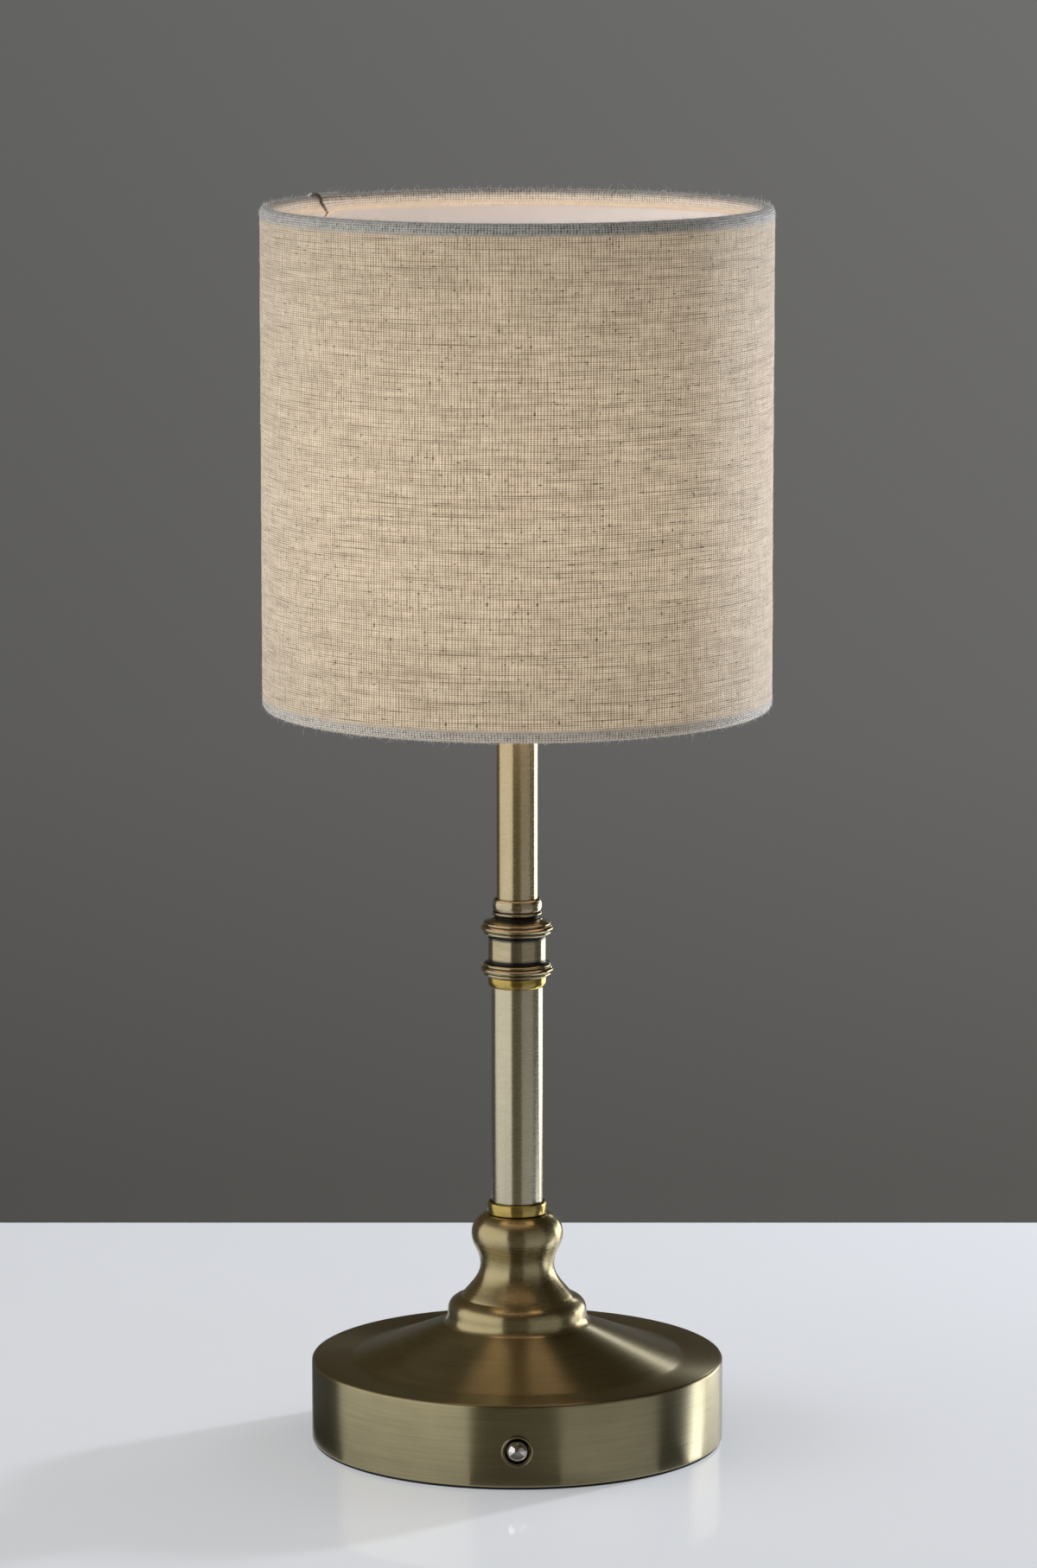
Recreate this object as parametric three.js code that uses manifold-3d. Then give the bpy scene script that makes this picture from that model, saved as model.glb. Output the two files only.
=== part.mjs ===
// A cordless table lamp: a linen drum shade on a turned antique-brass column, and a round
// weighted base that holds the battery, the charging board and the push button.
// Sizes are in millimetres, +Z is up, the origin is at the centre of the foot, and the
// button faces -Y.
import * as THREE from "three";
import { mergeVertices } from "three/addons/utils/BufferGeometryUtils.js";
import Module from "manifold-3d";

const wasm = await Module();
wasm.setup();

// Clearance between pieces that touch or fit into each other, and sides of round pieces
const GAP = 0.3;
const FINE = 48;
const MEDIUM = 24;
const SMALL = 12;

// Spun steel base shell
const BASE_R = 63.5;
const SHEET = 1;
const FOOT_REVEAL = 0.8; // height of the shell's lower edge above the table
const WALL_H = 25.3;
const LOWER_EDGE_R = 0.7;
const TOP_EDGE_R = 1.2;
const RIM_FLAT = 12.5; // width of the flat ring outside the cone
const CONE_RISE = 11.3;
const CONE_HOLLOW = 0.5; // how far the cone's slope sinks below a straight line
const WALL_CUT = 8; // length of the cuts through the wall, half of it outside

// What closes and weighs the base
const PAD_T = 1.6;
const PAD_MARGIN = 0.5; // between the pad or the plate and the shell's wall
const PLATE_T = 1.2;
const BALLAST_T = 4;
const BALLAST_MARGIN = 0.8; // between the ballast and the tray's posts
const SCREW_COUNT = 3;
const SCREW_R = 1.9;
const SCREW_L = 15;
const SCREW_HEAD_R = 3.6;
const SCREW_HEAD_T = 1.2;
const POST_WALL = 2; // plastic or metal round a screw
const POST_INSET = 4.3; // between the shell's wall and a screw post

// Tray, battery and boards inside the base
const TRAY_T = 1.5;
const CELL_R = 9.15;
const CELL_L = 65;
const CELL_NUB_R = 3;
const CELL_NUB_T = 1;
const CELL_OFFSET = 6.9; // between the rod's axis and the cell's near side
const CRADLE_WALL = 2;
const CRADLE_H = 12;
const CONTACT_T = 0.5;
const CONTACT_W = 8;
const CONTACT_RISE = 4; // how far a contact stands above its cradle wall
const BOARD_W = 34;
const BOARD_L = 34;
const BOARD_T = 1.6;
const BOARD_MARGIN = 4; // between the board's back edge and the shell's wall
const BOARD_POST_H = 1.5;
const BOARD_POST_R = 2.4;
const BOARD_POST_INSET = 3.5;
const BOARD_POST_PITCH = 14; // along the board, clear of the charging socket
const BOARD_SCREW_R = 1;
const BOARD_SCREW_L = 3.6;
const TERMINAL_W = 20;
const TERMINAL_D = 5;
const TERMINAL_H = 4.5;
const TERMINAL_PITCH = 3;
const USB_W = 8.9;
const USB_H = 3.2;
const USB_L = 7.4;
const USB_WALL = 0.4;
const USB_TONGUE_T = 0.8;
const USB_RECESS = 0.5; // how far the socket's mouth lies inside the wall
const CHARGE_LIGHT_R = 1;
const CHARGE_LIGHT_X = 9.5;
const CHARGE_LIGHT_L = 4.2;

// Push button in the front of the base, measured outwards from the wall
const BUTTON_Z = 12;
const BUTTON_R = 3.4;
const BUTTON_SINK = 0.9; // depth of the ball's centre behind the wall's face
const BUTTON_SKIRT = 3.1;
const BUTTON_STEM_R = 1.2;
const BUTTON_STEM_L = 7.5;
const BUTTON_TRAVEL = 1.2;
const BARREL_R = 4.1;
const BARREL_L = 9;
const BARREL_FLOOR = 1;
const BEZEL_R = 4.8;
const BEZEL_T = 0.8;
const BUTTON_NUT_FLATS = 11;
const BUTTON_NUT_T = 2;
const CLIP_R = 2.6;
const CLIP_T = 0.5;
const SPRING_WIRE_R = 0.25;
const SPRING_COIL_R = 2.5;
const SPRING_TURNS = 4;
const SWITCH_W = 5;
const SWITCH_T = 3.6;
const PLUNGER_R = 1.6;
const PLUNGER_PROUD = 1.4; // more than the button's travel
const PLUNGER_SUNK = 0.8;
const SWITCH_BOARD_W = 12;
const SWITCH_BOARD_H = 9.5;
const SWITCH_BOARD_T = 1.2;
const BRACKET_W = 3;
const BRACKET_D = 4;
const BRACKET_GRIP = 0.8; // depth of the groove that holds the switch board

// Threaded rod that clamps the column, and its nuts
const ROD_R = 5;
const ROD_BORE_R = 3.2;
const NUT_FLATS = 14;
const NUT_T = 3.6;
const WASHER_R = 9;
const WASHER_T = 0.8;
const ROD_END = 0.8; // how far the rod stands out of a nut

// Cast neck on the base
const NECK_FOOT_R = 21.2;
const NECK_FLANGE_R = 21.45; // widest part of the rounded flange
const NECK_FLANGE_H = 4.2;
const NECK_STEP_R = 17.2;
const NECK_STEP_H = 7.6; // crease between the flange and the flare
const NECK_WAIST_R = 11.45;
const NECK_WAIST_H = 17.3;
const NECK_BULB_R = 14.1;
const NECK_BULB_H = 27.1;
const NECK_TOP_R = 10;
const NECK_H = 33.4;
const NECK_WALL = 3;

// Column: tubes, the cups that hold their ends, and the turned knuckle between them
const LOWER_TUBE_R = 7.94;
const LOWER_TUBE_L = 71.7;
const UPPER_TUBE_R = 6.35;
const UPPER_TUBE_L = 77.7;
const TUBE_WALL = 0.75;
const CUP_FLOOR = 1;
const CUP_WALL = 0.75;
const NECK_RING_H = 3.7;
const CAP_H = 3.3;
const COLLAR_H = 3.7;
const COLLAR_BULGE = 0.3;
const KNUCKLE_LIP_R = 7.65;
const KNUCKLE_LIP_H = 0.9;
const KNUCKLE_THROAT_R = 6.9;
const KNUCKLE_THROAT_H = 0.8;
const KNUCKLE_OGEE_H = 1.4;
const KNUCKLE_GROOVE_R = 9.9;
const KNUCKLE_FILLET_R = 10.45;
const KNUCKLE_BEAD_R = 11.2;
const KNUCKLE_BODY_R = 8.9;
const KNUCKLE_BODY_L = 9.0;
const FILLET_H = 1.0;
const BEAD_H = 1.8;

// Lamp head on top of the column, measured from its lower edge
const HEAD_SOCKET_R = 8.4;
const HEAD_SOCKET_D = 3; // depth that the tube enters
const HEAD_FLOOR = 1.5;
const HEAD_FLANGE_R = 18;
const HEAD_FLANGE_T = 1.5;
const HEAD_FLANGE_TOP = 6.4;
const HEAD_THREAD_R = 14;
const HEAD_WALL = 1.6;
const HEAD_STEP = 1.2; // ledge that carries the heat sink
const HEAD_STEP_H = 11;
const HEAD_H = 15;
const SINK_T = 2.5;
const SINK_HOLE_R = 3.2;
const LED_BOARD_T = 1.6;
const LED_COUNT = 6;
const LED_CIRCLE_R = 6.8;
const LED_W = 2.8;
const LED_L = 3.5;
const LED_T = 0.8;
const DIFFUSER_R = 12.9;
const DIFFUSER_WALL = 1.6;
const DIFFUSER_SHOULDER = 1; // how far the shoulder stands out past the dome
const DIFFUSER_SHOULDER_T = 1.5;
const DIFFUSER_L = 12.2; // straight part under the dome
const LOCK_RING_R = 19.5;
const LOCK_RING_H = 4.5;
const LOCK_NOTCHES = 12;
const LOCK_NOTCH_R = 1.3;

// Shade
const SHADE_R = 77.6;
const SHADE_H = 152.4;
const LINEN_T = 0.6;
const LINER_T = 0.45;
const WIRE_R = 1.1;
const HEM_W = 7; // linen turned in over the wire rings
const SEAM_W = 11; // where the linen's ends overlap
const SEAM_T = 0.45;
const SEAM_ANGLE = THREE.MathUtils.degToRad(146);
const FITTER_RISE = 20; // height of the fitter's hub above the shade's lower edge
const SPOKE_COUNT = 3;
const SPOKE_R = 1.05;
const SPOKE_FOOT = 8; // level part next to the wire ring
const SPOKE_BEND = 14; // between the hub's edge and the upper bend
const SPOKE_WELD = 1.5; // how far a spoke reaches over the hub
const HUB_R = 20.5;
const HUB_T = 1.5;

const LEAD_R = 0.65;
const LED_LEAD_X = 1.4; // the two leads side by side in the rod
const LEAD_OUT = 8; // straight stretch out of the terminal
const LEAD_RISE = 10; // straight stretch into the rod
const LEAD_SIDE = 8; // how far the switch leads pass beside the rod
const LEAD_LOOP = 5.5; // how far the battery leads bow out past the contacts
const LEAD_CORNER_X = 20;
const LEAD_CORNER_Y = 12;

// Levels from the table up
const plateZ = PAD_T + GAP;
const ballastZ = plateZ + PLATE_T + GAP;
const trayZ = ballastZ + BALLAST_T + GAP;
const trayTop = trayZ + TRAY_T;
const rimZ = FOOT_REVEAL + WALL_H;
const landZ = rimZ + CONE_RISE;
const neckZ = landZ + GAP;
const neckRingZ = neckZ + NECK_H + GAP;
const lowerTubeZ = neckRingZ + CUP_FLOOR + GAP;
const capTop = lowerTubeZ + LOWER_TUBE_L + GAP + CUP_FLOOR;
const knuckleZ = capTop + GAP;
const knuckleH =
  4 * FILLET_H +
  2 * BEAD_H +
  KNUCKLE_BODY_L +
  KNUCKLE_OGEE_H +
  KNUCKLE_THROAT_H +
  KNUCKLE_LIP_H;
const collarZ = knuckleZ + knuckleH + GAP;
const upperTubeZ = collarZ + CUP_FLOOR + GAP;
const headZ = upperTubeZ + UPPER_TUBE_L + GAP - HEAD_SOCKET_D;
const headFloorZ = headZ + HEAD_SOCKET_D + HEAD_FLOOR;
const headWasherZ = headFloorZ + GAP;
const headNutZ = headWasherZ + WASHER_T + GAP;
const rodTop = headNutZ + NUT_T + ROD_END;
const baseWasherZ = landZ - SHEET - GAP - WASHER_T;
const baseNutZ = baseWasherZ - GAP - NUT_T;
const rodZ = baseNutZ - ROD_END;
const sinkZ = headZ + HEAD_STEP_H + GAP;
const ledBoardZ = sinkZ + SINK_T + GAP;
const hubZ = headZ + HEAD_FLANGE_TOP + GAP;
const lockRingZ = hubZ + HUB_T + GAP;
const shadeZ = hubZ - FITTER_RISE;

// Radii and places that follow from the sizes
const shellInsideR = BASE_R - SHEET;
const coneFootR = BASE_R - RIM_FLAT;
const landR = NECK_FOOT_R + GAP;
const rodHoleR = ROD_R + GAP;
const screwHoleR = SCREW_R + GAP;
const postR = screwHoleR + POST_WALL;
const screwCircleR = shellInsideR - POST_INSET - postR;
const plateR = shellInsideR - PAD_MARGIN;
const ballastR = screwCircleR - postR - BALLAST_MARGIN;
const cellY = -(CELL_OFFSET + CELL_R);
const cellZ = trayTop + GAP + CELL_R;
const contactX = CELL_L / 2 + GAP;
const cradleX = contactX + CONTACT_T + GAP;
const cradleTop = trayTop + CRADLE_H;
const boardZ = trayTop + BOARD_POST_H + GAP;
const boardTop = boardZ + BOARD_T;
const boardBackY = shellInsideR - BOARD_MARGIN;
const boardFrontY = boardBackY - BOARD_L;
const usbZ = boardTop + GAP + USB_H / 2;
const usbMouthY = BASE_R - USB_RECESS;
const terminalY = boardFrontY + 1;
const terminalZ = boardTop + GAP;
const leadZ = terminalZ + TERMINAL_H / 2;
const headBoreR = HEAD_THREAD_R - HEAD_WALL;
const lockBoreR = HEAD_THREAD_R + GAP;
const rimR = WIRE_R + GAP + LINEN_T; // radius of the shade's rolled rims
const wireCircleR = SHADE_R - rimR;
const linerR = SHADE_R - LINEN_T - GAP;
const flapEndR = linerR - LINER_T - GAP; // where the turned-in linen meets the liner

const BRASS = material(0x8a7b52, 0.32, 1);
const PALE_BRASS = material(0x9d9478, 0.3, 1);
const BRIGHT_BRASS = material(0xa8883a, 0.22, 1);
const CHROME = material(0xd8d8da, 0.08, 1);
const STEEL = material(0x9a9a98, 0.4, 1);
const IRON = material(0x4b4a48, 0.7, 0.6);
const ALUMINIUM = material(0xb9bbbd, 0.35, 1);
const FOAM = material(0x151515, 0.95, 0);
const BLACK_PLASTIC = material(0x1d1d1e, 0.55, 0);
const WHITE_PLASTIC = material(0xe9e8e3, 0.45, 0);
const WHITE_PAINT = material(0xe6e6e2, 0.35, 0.1);
const GREEN_BOARD = material(0x1d5a35, 0.5, 0);
const LED_YELLOW = material(0xe8c860, 0.4, 0);
const FROSTED = material(0xf3efe6, 0.6, 0);
const CELL_WRAP = material(0x3f6fa5, 0.4, 0);
const RED_LEAD = material(0xa3231d, 0.5, 0);
const BLACK_LEAD = material(0x191919, 0.5, 0);
const LINEN = material(0xb8a78c, 0.9, 0);
const LINER = material(0xf0e8e0, 0.6, 0);

function material(color, roughness, metalness) {
  return new THREE.MeshStandardMaterial({ color, roughness, metalness });
}

function mesh(name, geometry, finish, x = 0, y = 0, z = 0) {
  const made = new THREE.Mesh(geometry, finish);
  made.name = name;
  made.position.set(x, y, z);
  return made;
}

// Solid of revolution about Z. The outline is [radius, height] pairs or Vector2s that go up
// the outside, and it closes on itself or on the axis.
function revolve(outline, sides) {
  const points = outline.map((p) => (p.isVector2 ? p.clone() : new THREE.Vector2(...p)));
  if (points[0].x > 0) points.push(points[0].clone());
  return new THREE.LatheGeometry(points, sides).rotateX(Math.PI / 2);
}

// Round disc or ring between two heights; a bore of 0 leaves it solid.
function ring(outerR, boreR, low, high, sides) {
  return revolve([[boreR, low], [outerR, low], [outerR, high], [boreR, high]], sides);
}

function rod(radius, low, high, sides, x = 0, y = 0) {
  return ring(radius, 0, low, high, sides).translate(x, y, 0);
}

// Box with its centre at x, y and its floor at z.
function block(width, depth, height, x, y, z) {
  return new THREE.BoxGeometry(width, depth, height).translate(x, y, z + height / 2);
}

// Hexagonal nut with its flats a given distance apart.
function hexNut(flats, boreR, height) {
  const outline = new THREE.Shape();
  const cornerR = flats / 2 / Math.cos(Math.PI / 6);
  for (let i = 0; i < 6; i++) {
    const angle = (i * Math.PI) / 3;
    outline.lineTo(cornerR * Math.cos(angle), cornerR * Math.sin(angle));
  }
  outline.curves.shift(); // the line from the shape's own start at 0, 0
  outline.holes.push(new THREE.Path().absarc(0, 0, boreR, 0, 2 * Math.PI, true));
  return new THREE.ExtrudeGeometry(outline, {
    depth: height,
    bevelEnabled: false,
    curveSegments: 10,
  });
}

// Wire or cable along a curve, with a many-sided section.
function wire(curve, radius, sides, steps) {
  const corners = around(sides, radius).map(({ x, y }) => new THREE.Vector2(x, y));
  return new THREE.ExtrudeGeometry(new THREE.Shape(corners), {
    steps,
    extrudePath: curve,
    bevelEnabled: false,
  });
}

function solidOf(geometry) {
  const bare = geometry.clone();
  bare.deleteAttribute("normal");
  bare.deleteAttribute("uv");
  const merged = mergeVertices(bare, 1e-4);
  return new wasm.Manifold(
    new wasm.Mesh({
      numProp: 3,
      vertProperties: merged.getAttribute("position").array,
      triVerts: new Uint32Array(merged.getIndex().array),
    }),
  );
}

function geometryOf(solid) {
  const { vertProperties, triVerts } = solid.getMesh();
  const made = new THREE.BufferGeometry();
  made.setAttribute("position", new THREE.BufferAttribute(vertProperties, 3));
  made.setIndex(new THREE.BufferAttribute(triVerts, 1));
  return made;
}

function join(...geometries) {
  return geometryOf(geometries.map(solidOf).reduce((a, b) => a.add(b)));
}

function cut(geometry, ...tools) {
  return geometryOf(tools.map(solidOf).reduce((a, b) => a.subtract(b), solidOf(geometry)));
}

function common(a, b) {
  return geometryOf(solidOf(a).intersect(solidOf(b)));
}

// Places round a circle, starting at an angle from +X.
function around(count, radius, start = 0) {
  return Array.from({ length: count }, (_, i) => {
    const angle = start + (i * 2 * Math.PI) / count;
    return { x: radius * Math.cos(angle), y: radius * Math.sin(angle), angle };
  });
}

const screwPlaces = around(SCREW_COUNT, screwCircleR);

// Turned-in rim of the linen round a wire ring: an arc from the outer wall over the ring and
// down to the inside, seen in section.
function rimArc(radius, centreZ, steps, up) {
  const side = up ? 1 : -1;
  return Array.from({ length: steps + 1 }, (_, i) => {
    const angle = (i / steps) * Math.PI;
    return [wireCircleR + radius * Math.cos(angle), centreZ + side * radius * Math.sin(angle)];
  });
}

function shadeLinen() {
  const topZ = SHADE_H - rimR;
  const innerR = rimR - LINEN_T;
  const hem = [
    ...rimArc(rimR, topZ, 4, true),
    [wireCircleR - rimR, topZ - innerR],
    [flapEndR - LINEN_T, SHADE_H - HEM_W],
    [flapEndR, SHADE_H - HEM_W],
    [wireCircleR - innerR, topZ - innerR],
    ...rimArc(innerR, topZ, 3, true).reverse(),
  ];
  const lowerHem = [
    ...rimArc(innerR, rimR, 3, false),
    [wireCircleR - innerR, rimR + innerR],
    [flapEndR, HEM_W],
    [flapEndR - LINEN_T, HEM_W],
    [wireCircleR - rimR, rimR + innerR],
    ...rimArc(rimR, rimR, 4, false).reverse(),
  ];
  const tube = revolve([...hem, ...lowerHem], FINE);
  const seamX = SHADE_R * Math.cos(SEAM_ANGLE);
  const seamY = SHADE_R * Math.sin(SEAM_ANGLE);
  const overlap = common(
    ring(SHADE_R + SEAM_T, SHADE_R - LINEN_T / 2, rimR, SHADE_H - rimR, FINE),
    new THREE.BoxGeometry(SEAM_W, SEAM_W, SHADE_H)
      .rotateZ(SEAM_ANGLE)
      .translate(seamX, seamY, SHADE_H / 2),
  );
  const slits = around(SPOKE_COUNT, 1, Math.PI / 2).map(({ angle }) =>
    new THREE.CylinderGeometry(SPOKE_R + GAP, SPOKE_R + GAP, 2 * rimR, 8)
      .rotateZ(Math.PI / 2)
      .translate(wireCircleR - rimR, 0, rimR)
      .rotateZ(angle),
  );
  return cut(join(tube, overlap), ...slits);
}

function shadeLiner() {
  const endZ = 2 * rimR + GAP;
  return ring(linerR, linerR - LINER_T, endZ, SHADE_H - endZ, FINE);
}

function wireRing() {
  return new THREE.TorusGeometry(wireCircleR, WIRE_R, 5, FINE);
}

// Hub with three cranked spokes that reach the lower wire ring through slits in the linen.
function shadeFitter() {
  const hub = ring(HUB_R, lockBoreR, FITTER_RISE, FITTER_RISE + HUB_T, MEDIUM);
  const hubMid = FITTER_RISE + HUB_T / 2;
  const footR = wireCircleR - WIRE_R - GAP;
  const spokes = around(SPOKE_COUNT, 1, Math.PI / 2).map(({ x, y }) => {
    const at = (radius, z) => new THREE.Vector3(x * radius, y * radius, z);
    const line = new THREE.CatmullRomCurve3([
      at(footR, rimR),
      at(footR - SPOKE_FOOT, rimR + 0.4),
      at(HUB_R + SPOKE_BEND, hubMid - 0.35 * FITTER_RISE),
      at(HUB_R + 5, hubMid - 0.8),
      at(HUB_R - SPOKE_WELD, hubMid),
    ]);
    return wire(line, SPOKE_R, 6, 10);
  });
  return join(hub, ...spokes);
}

function addShade(lamp) {
  const shade = new THREE.Group();
  shade.position.z = shadeZ;
  shade.add(
    mesh("shade_linen", shadeLinen(), LINEN),
    mesh("shade_liner", shadeLiner(), LINER),
    mesh("shade_top_ring", wireRing(), STEEL, 0, 0, SHADE_H - rimR),
    mesh("shade_lower_ring", wireRing(), STEEL, 0, 0, rimR),
    mesh("shade_fitter", shadeFitter(), WHITE_PAINT),
  );
  lamp.add(shade);
}

function headCup() {
  const tubeR = UPPER_TUBE_R + GAP;
  const flangeFoot = HEAD_FLANGE_TOP - HEAD_FLANGE_T;
  const ledgeR = headBoreR - HEAD_STEP;
  const floorTop = HEAD_SOCKET_D + HEAD_FLOOR;
  const outline = new THREE.Path();
  outline.moveTo(tubeR, 0);
  outline.lineTo(HEAD_SOCKET_R, 0);
  outline.lineTo(HEAD_SOCKET_R, 1.8);
  outline.quadraticCurveTo(HEAD_SOCKET_R + 0.6, flangeFoot - 0.4, HEAD_FLANGE_R, flangeFoot);
  outline.lineTo(HEAD_FLANGE_R, HEAD_FLANGE_TOP);
  outline.lineTo(HEAD_THREAD_R, HEAD_FLANGE_TOP);
  outline.lineTo(HEAD_THREAD_R, HEAD_H);
  outline.lineTo(headBoreR, HEAD_H);
  outline.lineTo(headBoreR, HEAD_STEP_H);
  outline.lineTo(ledgeR, HEAD_STEP_H);
  outline.lineTo(ledgeR, floorTop);
  outline.lineTo(rodHoleR, floorTop);
  outline.lineTo(rodHoleR, HEAD_SOCKET_D);
  outline.lineTo(tubeR, HEAD_SOCKET_D);
  return revolve(outline.getPoints(2), MEDIUM);
}

// Frosted dome that plugs into the head and stands on the heat sink's rim.
function diffuser() {
  const lipR = headBoreR - GAP;
  const lipTop = headZ + HEAD_H + GAP - ledBoardZ;
  const shoulderTop = lipTop + DIFFUSER_SHOULDER_T;
  const domeZ = shoulderTop + DIFFUSER_L;
  const innerR = DIFFUSER_R - DIFFUSER_WALL;
  const outline = new THREE.Path();
  outline.moveTo(lipR - DIFFUSER_WALL, 0);
  outline.lineTo(lipR, 0);
  outline.lineTo(lipR, lipTop);
  outline.lineTo(DIFFUSER_R + DIFFUSER_SHOULDER, lipTop);
  outline.lineTo(DIFFUSER_R + DIFFUSER_SHOULDER, shoulderTop);
  outline.lineTo(DIFFUSER_R, shoulderTop);
  outline.absarc(0, domeZ, DIFFUSER_R, 0, Math.PI / 2, false);
  outline.lineTo(0, domeZ + innerR);
  outline.absarc(0, domeZ, innerR, Math.PI / 2, 0, true);
  outline.lineTo(lipR - DIFFUSER_WALL, shoulderTop);
  outline.lineTo(lipR - DIFFUSER_WALL, 0);
  const points = outline.getPoints(2);
  const top = points.findIndex((p) => Math.abs(p.x) < 1e-6);
  const outside = points.slice(0, top + 1);
  const inside = points.slice(top + 1).filter((p) => p.x > 1e-6);
  outside[top] = new THREE.Vector2(0, domeZ + DIFFUSER_R);
  const shell = [new THREE.Vector2(0, 0), ...outside.slice(1)];
  const hollow = [...inside, new THREE.Vector2(0, -1)].reverse();
  const plug = [hollow[0], new THREE.Vector2(lipR - DIFFUSER_WALL, -1)];
  const hollowOutline = [...plug, ...hollow.slice(2), new THREE.Vector2(0, domeZ + innerR)];
  return cut(revolve(shell, MEDIUM), revolve(hollowOutline, MEDIUM));
}

// Threaded ring with finger notches that clamps the fitter's hub on the flange.
function lockRing() {
  const notches = around(LOCK_NOTCHES, LOCK_RING_R).map(({ x, y }) =>
    rod(LOCK_NOTCH_R, -1, LOCK_RING_H + 1, 8, x, y),
  );
  return cut(ring(LOCK_RING_R, lockBoreR, 0, LOCK_RING_H, 2 * LOCK_NOTCHES), ...notches);
}

function addHead(lamp) {
  const sinkR = headBoreR - GAP;
  const ledBoardR = sinkR - DIFFUSER_WALL - GAP;
  const nut = hexNut(NUT_FLATS, rodHoleR, NUT_T);
  const washer = ring(WASHER_R, rodHoleR, 0, WASHER_T, 20);
  lamp.add(
    mesh("lamp_head", headCup(), BRASS, 0, 0, headZ),
    mesh("head_washer", washer, STEEL, 0, 0, headWasherZ),
    mesh("head_nut", nut, STEEL, 0, 0, headNutZ),
    mesh("heat_sink", ring(sinkR, SINK_HOLE_R, 0, SINK_T, 24), ALUMINIUM, 0, 0, sinkZ),
    mesh("led_board", ring(ledBoardR, 0, 0, LED_BOARD_T, 24), WHITE_PLASTIC, 0, 0, ledBoardZ),
    mesh("light_diffuser", diffuser(), FROSTED, 0, 0, ledBoardZ),
    mesh("shade_lock_ring", lockRing(), BLACK_PLASTIC, 0, 0, lockRingZ),
  );
  around(LED_COUNT, LED_CIRCLE_R).forEach(({ x, y, angle }, i) => {
    const chip = block(LED_W, LED_L, LED_T, 0, 0, 0).rotateZ(angle);
    const z = ledBoardZ + LED_BOARD_T + GAP;
    lamp.add(mesh(`led_chip_${i + 1}`, chip, LED_YELLOW, x, y, z));
  });
}

// Half-round bead on a turned outline, from the groove radius out to its crown.
function bead(outline, z) {
  const depth = KNUCKLE_BEAD_R - KNUCKLE_GROOVE_R;
  outline.absellipse(
    KNUCKLE_GROOVE_R, z + BEAD_H / 2, depth, BEAD_H / 2, -Math.PI / 2, Math.PI / 2, false, 0,
  );
  return z + BEAD_H;
}

// Flat fillet with eased edges beside a bead.
function fillet(outline, z) {
  outline.lineTo(KNUCKLE_FILLET_R, z + FILLET_H * 0.3);
  outline.lineTo(KNUCKLE_FILLET_R, z + FILLET_H * 0.7);
  outline.lineTo(KNUCKLE_GROOVE_R, z + FILLET_H);
  return z + FILLET_H;
}

// Turned knuckle: bead and fillets, a plain drum, bead and fillets again, then an ogee that
// runs up to a throat and a thin lip.
function knuckle() {
  const outline = new THREE.Path();
  outline.moveTo(rodHoleR, 0);
  outline.lineTo(KNUCKLE_GROOVE_R, 0);
  let z = fillet(outline, bead(outline, fillet(outline, 0)));
  outline.lineTo(KNUCKLE_BODY_R, z + 0.3);
  z += KNUCKLE_BODY_L;
  outline.lineTo(KNUCKLE_BODY_R, z - 0.3);
  outline.lineTo(KNUCKLE_GROOVE_R, z);
  z = fillet(outline, bead(outline, fillet(outline, z)));
  const throatZ = z + KNUCKLE_OGEE_H;
  outline.bezierCurveTo(
    KNUCKLE_GROOVE_R - 1.2, z + 0.5, KNUCKLE_THROAT_R, z + 0.6, KNUCKLE_THROAT_R, throatZ,
  );
  const lipZ = throatZ + KNUCKLE_THROAT_H;
  outline.quadraticCurveTo(KNUCKLE_THROAT_R, lipZ - 0.3, KNUCKLE_LIP_R, lipZ);
  outline.lineTo(KNUCKLE_LIP_R, lipZ + KNUCKLE_LIP_H);
  outline.lineTo(rodHoleR, lipZ + KNUCKLE_LIP_H);
  return revolve(outline.getPoints(2), MEDIUM);
}

// Cup that holds a tube's end: a floor with the rod's hole, and a wall round the tube.
function cup(tubeR, height, bulge, mouthRound) {
  const boreR = tubeR + GAP;
  const outerR = boreR + CUP_WALL;
  const outline = new THREE.Path();
  outline.moveTo(rodHoleR, 0);
  outline.lineTo(outerR, 0);
  outline.quadraticCurveTo(outerR + 2 * bulge, height / 2, outerR, height - mouthRound);
  outline.quadraticCurveTo(outerR, height, outerR - mouthRound, height);
  outline.lineTo(boreR, height);
  outline.lineTo(boreR, CUP_FLOOR);
  outline.lineTo(rodHoleR, CUP_FLOOR);
  return revolve(outline.getPoints(2), MEDIUM);
}

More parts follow.
